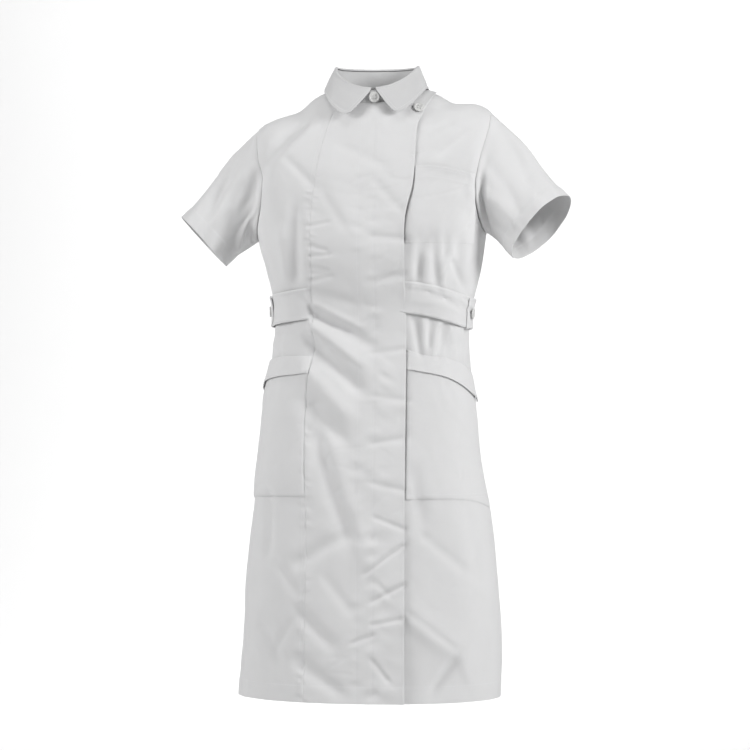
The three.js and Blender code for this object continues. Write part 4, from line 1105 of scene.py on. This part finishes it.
def button(name, place, normal):
    """A round button: raised rim, dished middle, four holes sewn with thread."""
    outline = [(BUTTON_RADIUS - inset, height) for inset, height in BUTTON_RIM]
    outline += [(radius, BUTTON_DISH) for radius in np.arange(BUTTON_RADIUS - 3.0, 0.2, -0.28)]
    outline.append((0.0, BUTTON_DISH))
    around = np.linspace(0, TURN, 72, endpoint=False)
    points = []
    for index, (radius, height) in enumerate(outline):
        x, y = radius * np.cos(around), radius * np.sin(around)
        z = np.full_like(x, height)
        if index >= len(BUTTON_RIM):
            off = np.hypot(np.abs(x) - BUTTON_HOLE_PLACE, np.abs(y) - BUTTON_HOLE_PLACE)
            z -= BUTTON_HOLE_DEPTH * smooth((BUTTON_HOLE_RADIUS + 0.15 - off) / 0.3)
        points.append(np.stack([x, y, z], axis=-1))
    points = np.concatenate(points)
    faces = grid_faces(np.arange(len(points)).reshape(len(outline), -1), closed=True).tolist()
    basis = np.array(Vector((0, 0, 1)).rotation_difference(Vector(normal.tolist())).to_matrix())
    made = make_mesh(name, points @ basis.T + place, faces, points[:, :2], sharp=35)
    remove_doubles(made)
    threads = []
    for side in (-1, 1):
        reach = np.linspace(-2.6, 2.6, 9)
        line = np.array([[side * BUTTON_HOLE_PLACE, y, 1.95 - 0.06 * y * y] for y in reach])
        threads.append(line @ basis.T + place)
    return made, bar_mesh(name + "_thread", threads, BUTTON_THREAD)


def remove_doubles(made):
    work = bmesh.new()
    work.from_mesh(made.data)
    bmesh.ops.remove_doubles(work, verts=work.verts, dist=1e-7)
    bmesh.ops.dissolve_degenerate(work, dist=1e-8, edges=work.edges)
    bmesh.ops.recalc_face_normals(work, faces=work.faces)
    work.to_mesh(made.data)
    work.free()


def bar_mesh(name, lines, radius, sides=8):
    """Round bars along some lines, closed at their ends."""
    turns = TURN * np.arange(sides)[:, None] / sides
    points, faces = [], []
    for line in lines:
        run = unit(np.gradient(line, axis=0))
        side = unit(np.cross(run, np.array([0.3, 0.5, 0.9])))
        up = np.cross(run, side)
        rings = line[:, None] + radius * (side[:, None] * np.cos(turns) + up[:, None] * np.sin(turns))
        index = len(line) * sides * len(points) + np.arange(len(line) * sides).reshape(-1, sides)
        points.append(rings.reshape(-1, 3))
        faces += grid_faces(index, closed=True).tolist() + [index[0, ::-1].tolist(), index[-1].tolist()]
    return make_mesh(name, np.concatenate(points), faces)


# Materials

def node_material(name):
    material = bpy.data.materials.new(name)
    material.use_nodes = True
    return material, material.node_tree, material.node_tree.nodes["Principled BSDF"]


def connect(tree, made, inputs):
    """Sets each input of a node to a constant, or links it to the output of another node."""
    for name, value in inputs.items():
        if isinstance(value, bpy.types.NodeSocket):
            tree.links.new(value, made.inputs[name])
        else:
            made.inputs[name].default_value = value
    return made


def add_node(tree, kind, inputs, **settings):
    made = tree.nodes.new("ShaderNode" + kind)
    for name, value in settings.items():
        setattr(made, name, value)
    return connect(tree, made, inputs)


def noise(tree, scale, place=None, **more):
    """Noise over some coordinates, or else over the object."""
    place = place or add_node(tree, "TexCoord", {}).outputs["Object"]
    return add_node(tree, "TexNoise", {"Vector": place, "Scale": scale, **more}).outputs["Fac"]


def bump(tree, height, strength, depth, **below):
    inputs = {"Height": height, "Strength": strength, "Distance": depth * MM, **below}
    return add_node(tree, "Bump", inputs).outputs["Normal"]


def ramp(tree, factor, dark, light, low=0.0, high=1.0):
    made = add_node(tree, "ValToRGB", {"Fac": factor})
    for stop, place, colour in zip(made.color_ramp.elements, (low, high), (dark, light)):
        stop.position = place
        stop.color = (*colour, 1)
    return made.outputs["Color"]


def cloth_material(name, colour, weave_depth, roughness):
    """White woven cloth: fine threads both ways, slubs, soft crumple and a faint sheen."""
    material, tree, shader = node_material(name)
    place = add_node(tree, "UVMap", {}, uv_map="UVMap").outputs["UV"]
    scale = 1 / (THREAD_PITCH * MM) / WAVES_A_UNIT
    wave = {"Vector": place, "Scale": scale, "Distortion": 1.2, "Detail": 1.0, "Detail Scale": 2.0}
    waves = [add_node(tree, "TexWave", wave, bands_direction=way).outputs["Fac"] for way in ("X", "Y")]
    threads = add_node(tree, "Math", {0: waves[0], 1: waves[1]}, operation="MAXIMUM").outputs["Value"]
    slub = noise(tree, 900, place, Detail=3)
    soft = noise(tree, 38, Detail=4, Roughness=0.55)
    weave = bump(tree, threads, 0.42, weave_depth)
    slubbed = bump(tree, slub, 0.35, 0.12, Normal=weave)
    both = add_node(tree, "Math", {0: slub, 1: soft}, operation="ADD").outputs["Value"]
    half = add_node(tree, "Math", {0: both, 1: 0.5}, operation="MULTIPLY").outputs["Value"]
    connect(tree, shader, {
        "Base Color": ramp(tree, half, [c * 0.965 for c in colour], colour, 0.3, 0.75),
        "Normal": bump(tree, soft, 0.5, 1.1, Normal=slubbed),
        "Roughness": roughness, "Sheen Weight": 0.22, "Sheen Roughness": 0.45, "Specular IOR Level": 0.32,
    })
    return material


def thread_material():
    material, tree, shader = node_material("white_thread")
    twist = noise(tree, 2500)
    connect(tree, shader, {
        "Base Color": ramp(tree, twist, (0.74, 0.745, 0.75), (0.84, 0.845, 0.85)),
        "Normal": bump(tree, twist, 0.4, 0.08),
        "Roughness": 0.6, "Sheen Weight": 0.3,
    })
    return material


def button_material():
    """Moulded plastic, white, half glossy, with faint clouds."""
    material, tree, shader = node_material("button_plastic")
    clouds = noise(tree, 160, Detail=3)
    gloss = add_node(tree, "MapRange", {"Value": clouds, "To Min": 0.3, "To Max": 0.42}).outputs["Result"]
    connect(tree, shader, {
        "Base Color": ramp(tree, clouds, (0.66, 0.66, 0.65), (0.76, 0.76, 0.75)),
        "Roughness": gloss, "Specular IOR Level": 0.5, "Coat Weight": 0.15,
    })
    return material


THREAD_PITCH = 0.62
# Bands that a wave texture lays over one unit at a scale of one
WAVES_A_UNIT = 3.183
CLOTH_WHITE = (0.76, 0.76, 0.763)
# The collar is the same white cloth as the body, painted darker to stand in for the shade it lies in (painted
# shade)
COLLAR_WHITE_PAINTED_SHADE = (0.65, 0.65, 0.653)
MATERIALS = {
    "body_cloth": cloth_material("body_cloth", CLOTH_WHITE, 0.16, 0.82),
    "collar_cloth": cloth_material("collar_cloth", COLLAR_WHITE_PAINTED_SHADE, 0.14, 0.8),
    "trim_cloth": cloth_material("trim_cloth", CLOTH_WHITE, 0.16, 0.82),
}
THREAD = thread_material()
PLASTIC = button_material()

# Every piece: its maker or its name as a hip patch, slot, flat cut in metres, how it is held, what it lies on

CLOTH_PIECES = [
    (front_right_centre, "body_cloth", (0.185, 1.075), "hung", ["front_left"]),
    (front_right_side, "body_cloth", (0.155, 1.075), "hung", ["back"]),
    (front_left, "body_cloth", (0.245, 1.075), "hung", ["back"]),
    (back, "body_cloth", (0.53, 1.075), "hung", ["front_left", "front_right_side"]),
    (collar_stand, "collar_cloth", (0.47, 0.034), "hung", ["back"]),
    (collar_fall, "collar_cloth", (0.54, 0.066), "folded", ["collar_stand"]),
    (chest_pocket, "trim_cloth", (0.12, 0.13), "hung", ["front_left"]),
    ("hip_pocket_right", "trim_cloth", (0.165, 0.24), "hung", ["front_right_side"]),
    ("hip_pocket_left", "trim_cloth", (0.185, 0.25), "hung", ["front_left"]),
    ("pocket_band_right", "trim_cloth", (0.165, 0.035), "hung", ["hip_pocket_right"]),
    ("pocket_band_left", "trim_cloth", (0.185, 0.045), "hung", ["hip_pocket_left"]),
    (belt_tab_right, "trim_cloth", (0.185, 0.052), "hung", ["front_right_side"]),
    (belt_tab_left, "trim_cloth", (0.205, 0.052), "hung", ["front_left"]),
    (belt_back, "trim_cloth", (0.56, 0.052), "hung", ["belt_tab_right", "belt_tab_left"]),
]


def add_piece(piece, material, slot):
    piece.data.materials.append(material)
    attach(piece, "root")


def place_cloth(made, slot, flat, held, rests_on):
    cloths[made.name] = made
    piece = shell(made)
    piece.name = made.name + "_cloth"
    add_piece(piece, MATERIALS[slot], slot)
    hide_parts(made.name)
    min(made.area, flat[0] * flat[1])
    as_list(rests_on)


cloths = {}
for maker, slot, flat, held, rests_on in CLOTH_PIECES:
    made = pocket_cloth(maker, *HIP_PATCHES[maker]) if maker in HIP_PATCHES else maker()
    place_cloth(made, slot, flat, held, rests_on)
for row in SLEEVES:
    place_cloth(sleeve(*row), "body_cloth", (0.42, 0.235), "hung", ["front_left", "back"])


def cuff_line(cloth, height):
    """A closed line round a sleeve at a height above its cuff."""
    columns = np.arange(cloth.outer.shape[1])
    rows = np.array([np.interp(-height, -above, np.arange(len(above))) for above in cloth.left.T])
    found = cloth.at(rows, columns)[0], cloth.normal[rows.astype(int), columns]
    return [np.concatenate([part, part[:1]]) for part in found]


def collar_edge_line(cloth, inset=COLLAR_STITCH):
    """A line inside the fall's ends and free edge."""
    rows, columns = cloth.outer.shape[:2]
    width = cloth.u[-1]
    left = np.interp(inset, width, np.arange(columns))
    right = np.interp(width[-1] - inset, width, np.arange(columns))
    foot = np.interp(FALL_DROP - inset, -cloth.v[:, 0], np.arange(rows))
    down = np.arange(FIRST_DROP_ROW, foot)
    across = np.arange(math.ceil(left), right)
    path = [(row, left) for row in down] + [(foot, column) for column in across]
    path += [(row, right) for row in down[::-1]]
    return cloth.at(*np.array(path).T)


def seam_threads():
    centre, side = cloths["front_right_centre"], cloths["front_right_side"]
    rises = RISES[RISES[:, 0] < STITCHED_TO, 0]
    lines = [side.upright(distance, True, high=len(rises)) for distance in PRINCESS_STITCHES]
    lines.append(centre.upright(CLOSURE_STITCH, True))
    first, last = princess_angle(rises), closure_angle(rises)
    shares = seam_columns(*CENTRE_COLUMNS)
    for x in PLACKET_LINES:
        share = (front_angle(x, rises) - first) / (last - first)
        lines.append(centre.at(np.arange(len(rises)), np.interp(share, shares, np.arange(len(shares)))))
    return lines


def hem_threads():
    lines = [cloths[name].level(HEM_STITCH) for name in ("front_right_side", "front_right_centre", "back")]
    left = cloths["front_left"]
    lines.append(left.level(HEM_STITCH, left=int(left.outer.shape[1] * UNDERLAP_HIDDEN)))
    return lines + [cuff_line(cloths[row[0]], CUFF_STITCH) for row in SLEEVES]


def patch_threads():
    lines = []
    for name in ("hip_pocket_right", "hip_pocket_left"):
        pocket = cloths[name]
        for inset in POCKET_STITCHES:
            lines += [pocket.upright(inset), pocket.upright(inset, True)]
            lines.append(pocket.level(pocket.v[0, 0] + inset))
    chest = cloths["chest_pocket"]
    lines += [chest.level(chest.v[-1] - inset) for inset in CHEST_STITCHES]
    for name in ("pocket_band_right", "pocket_band_left"):
        band = cloths[name]
        lines.append(band.level(band.v[0] + EDGE_STITCH))
    return lines


def belt_threads():
    lines = []
    for name in ("belt_tab_right", "belt_tab_left", "belt_back"):
        belt = cloths[name]
        lines += [belt.level(belt.v[0] + inset) for inset in (EDGE_STITCH, 2 * BELT_HALF - EDGE_STITCH)]
        lines += [belt.upright(EDGE_STITCH, from_end) for from_end in (False, True)]
    return lines


collar_line = collar_edge_line(cloths["collar_fall"])
for name, lines, slot in (
    ("seam_stitches", seam_threads(), "body_cloth"),
    ("hem_stitches", hem_threads(), "body_cloth"),
    ("patch_stitches", patch_threads(), "trim_cloth"),
    ("belt_stitches", belt_threads(), "trim_cloth"),
    ("collar_stitches", [collar_line], "collar_cloth"),
):
    add_piece(stitches(name, lines), THREAD, slot)


def body_button_place(angle, rise, out):
    point = folded_point(np.array(angle), np.array(rise))
    normal = body_normal(np.array(angle), np.array(rise))
    return point + normal * (out + BUTTON_GAP), normal


def belt_button_place(angle):
    rise = read_curve(BELT_MIDDLE, "angle", "z", np.array(math.degrees(angle))) - HEM_Z
    part = (angle + BACK_BELT_END) / (math.pi + 2 * BACK_BELT_END)
    return body_button_place(angle, rise, back_belt_out(part))


def button_places():
    normal = neck_outward(np.array(COLLAR_BUTTON_ANGLE))
    foot = stand_foot(np.array([COLLAR_BUTTON_ANGLE]))[0]
    place = foot + (collar_point(FOLD_LINE, np.array(COLLAR_BUTTON_ANGLE)) - foot) * COLLAR_BUTTON_HEIGHT
    yield "button_collar", place + normal * (LAYER + BUTTON_GAP), normal
    rise = front_rise(np.array(CORNER_BUTTON_X), np.array(CORNER_BUTTON_Z))
    angle = front_angle(np.array(CORNER_BUTTON_X), rise)
    yield ("button_corner", *body_button_place(angle, rise, overlap_out(angle, rise)))
    yield ("button_belt_right", *belt_button_place(math.pi + BELT_BUTTON_ANGLE))
    yield ("button_belt_left", *belt_button_place(-BELT_BUTTON_ANGLE))


for name, place, normal in button_places():
    disc, thread = button(name + "_disc", place, normal)
    add_piece(disc, PLASTIC, "button_white")
    add_piece(thread, THREAD, "button_white")
    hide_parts(name)

# Stage: a pale floor that curves up behind, soft light and the camera

FLOOR_Z = -1.30
FLOOR_HALF = 9.0
BEND_FROM = 3.6
BEND = 2.0
FLOOR_GREY = 0.72
VIEW_AZIMUTH = math.radians(8)
VIEW_DISTANCE = 4.6
VIEW_CENTRE = Vector((-0.0039, 0.0006, -0.465))
VIEW_LENS = 133.05


def backdrop():
    bend = [(BEND_FROM + BEND * math.sin(a), BEND - BEND * math.cos(a)) for a in np.linspace(0.1, math.pi / 2, 16)]
    profile = [(-FLOOR_HALF, 0.0), (BEND_FROM, 0.0), *bend, (BEND_FROM + BEND, FLOOR_HALF)]
    points = [(x / MM, y / MM, (z + FLOOR_Z) / MM) for y, z in profile for x in (-FLOOR_HALF, FLOOR_HALF)]
    faces = grid_faces(np.arange(len(points)).reshape(-1, 2)).tolist()
    made = make_mesh("floor", points, faces, sharp=80)
    material, tree, shader = node_material("floor_paint")
    connect(tree, shader, {"Base Color": (FLOOR_GREY, FLOOR_GREY, FLOOR_GREY, 1), "Roughness": 0.9})
    made.data.materials.append(material)


def area_light(name, size, power, place, target):
    light = bpy.data.lights.new(name, "AREA")
    light.shape = "RECTANGLE"
    light.size, light.size_y = size
    light.energy = power
    made = bpy.data.objects.new(name, light)
    made.location = place
    made.rotation_euler = (Vector(target) - Vector(place)).to_track_quat("-Z", "Y").to_euler()
    bpy.context.scene.collection.objects.link(made)


def stage():
    backdrop()
    target = (0, 0, -0.5)
    area_light("key", (1.0, 1.3), 81, (2.8, -1.5, 0.9), target)
    area_light("fill", (1.4, 1.8), 66, (-2.9, -1.6, 0.9), target)
    area_light("top", (1.2, 1.0), 9, (-0.3, -0.7, 2.2), target)
    area_light("rear", (3.2, 2.4), 172, (-0.5, 2.2, 1.8), (-0.6, 5.0, -0.6))
    world = bpy.data.worlds.new("studio")
    world.use_nodes = True
    background = world.node_tree.nodes["Background"]
    background.inputs["Color"].default_value = (1, 1, 1, 1)
    background.inputs["Strength"].default_value = 0.2
    bpy.context.scene.world = world
    bpy.context.scene.view_settings.view_transform = "Standard"


def camera():
    data = bpy.data.cameras.new("camera")
    data.lens = VIEW_LENS
    data.sensor_width = 36
    made = bpy.data.objects.new("camera", data)
    back_away = Vector((math.sin(VIEW_AZIMUTH), -math.cos(VIEW_AZIMUTH), 0))
    made.location = VIEW_CENTRE + back_away * VIEW_DISTANCE
    made.rotation_mode = "QUATERNION"
    made.rotation_quaternion = (-back_away).to_track_quat("-Z", "Y")
    data.clip_end = 100
    bpy.context.scene.collection.objects.link(made)
    bpy.context.scene.camera = made


stage()
camera()
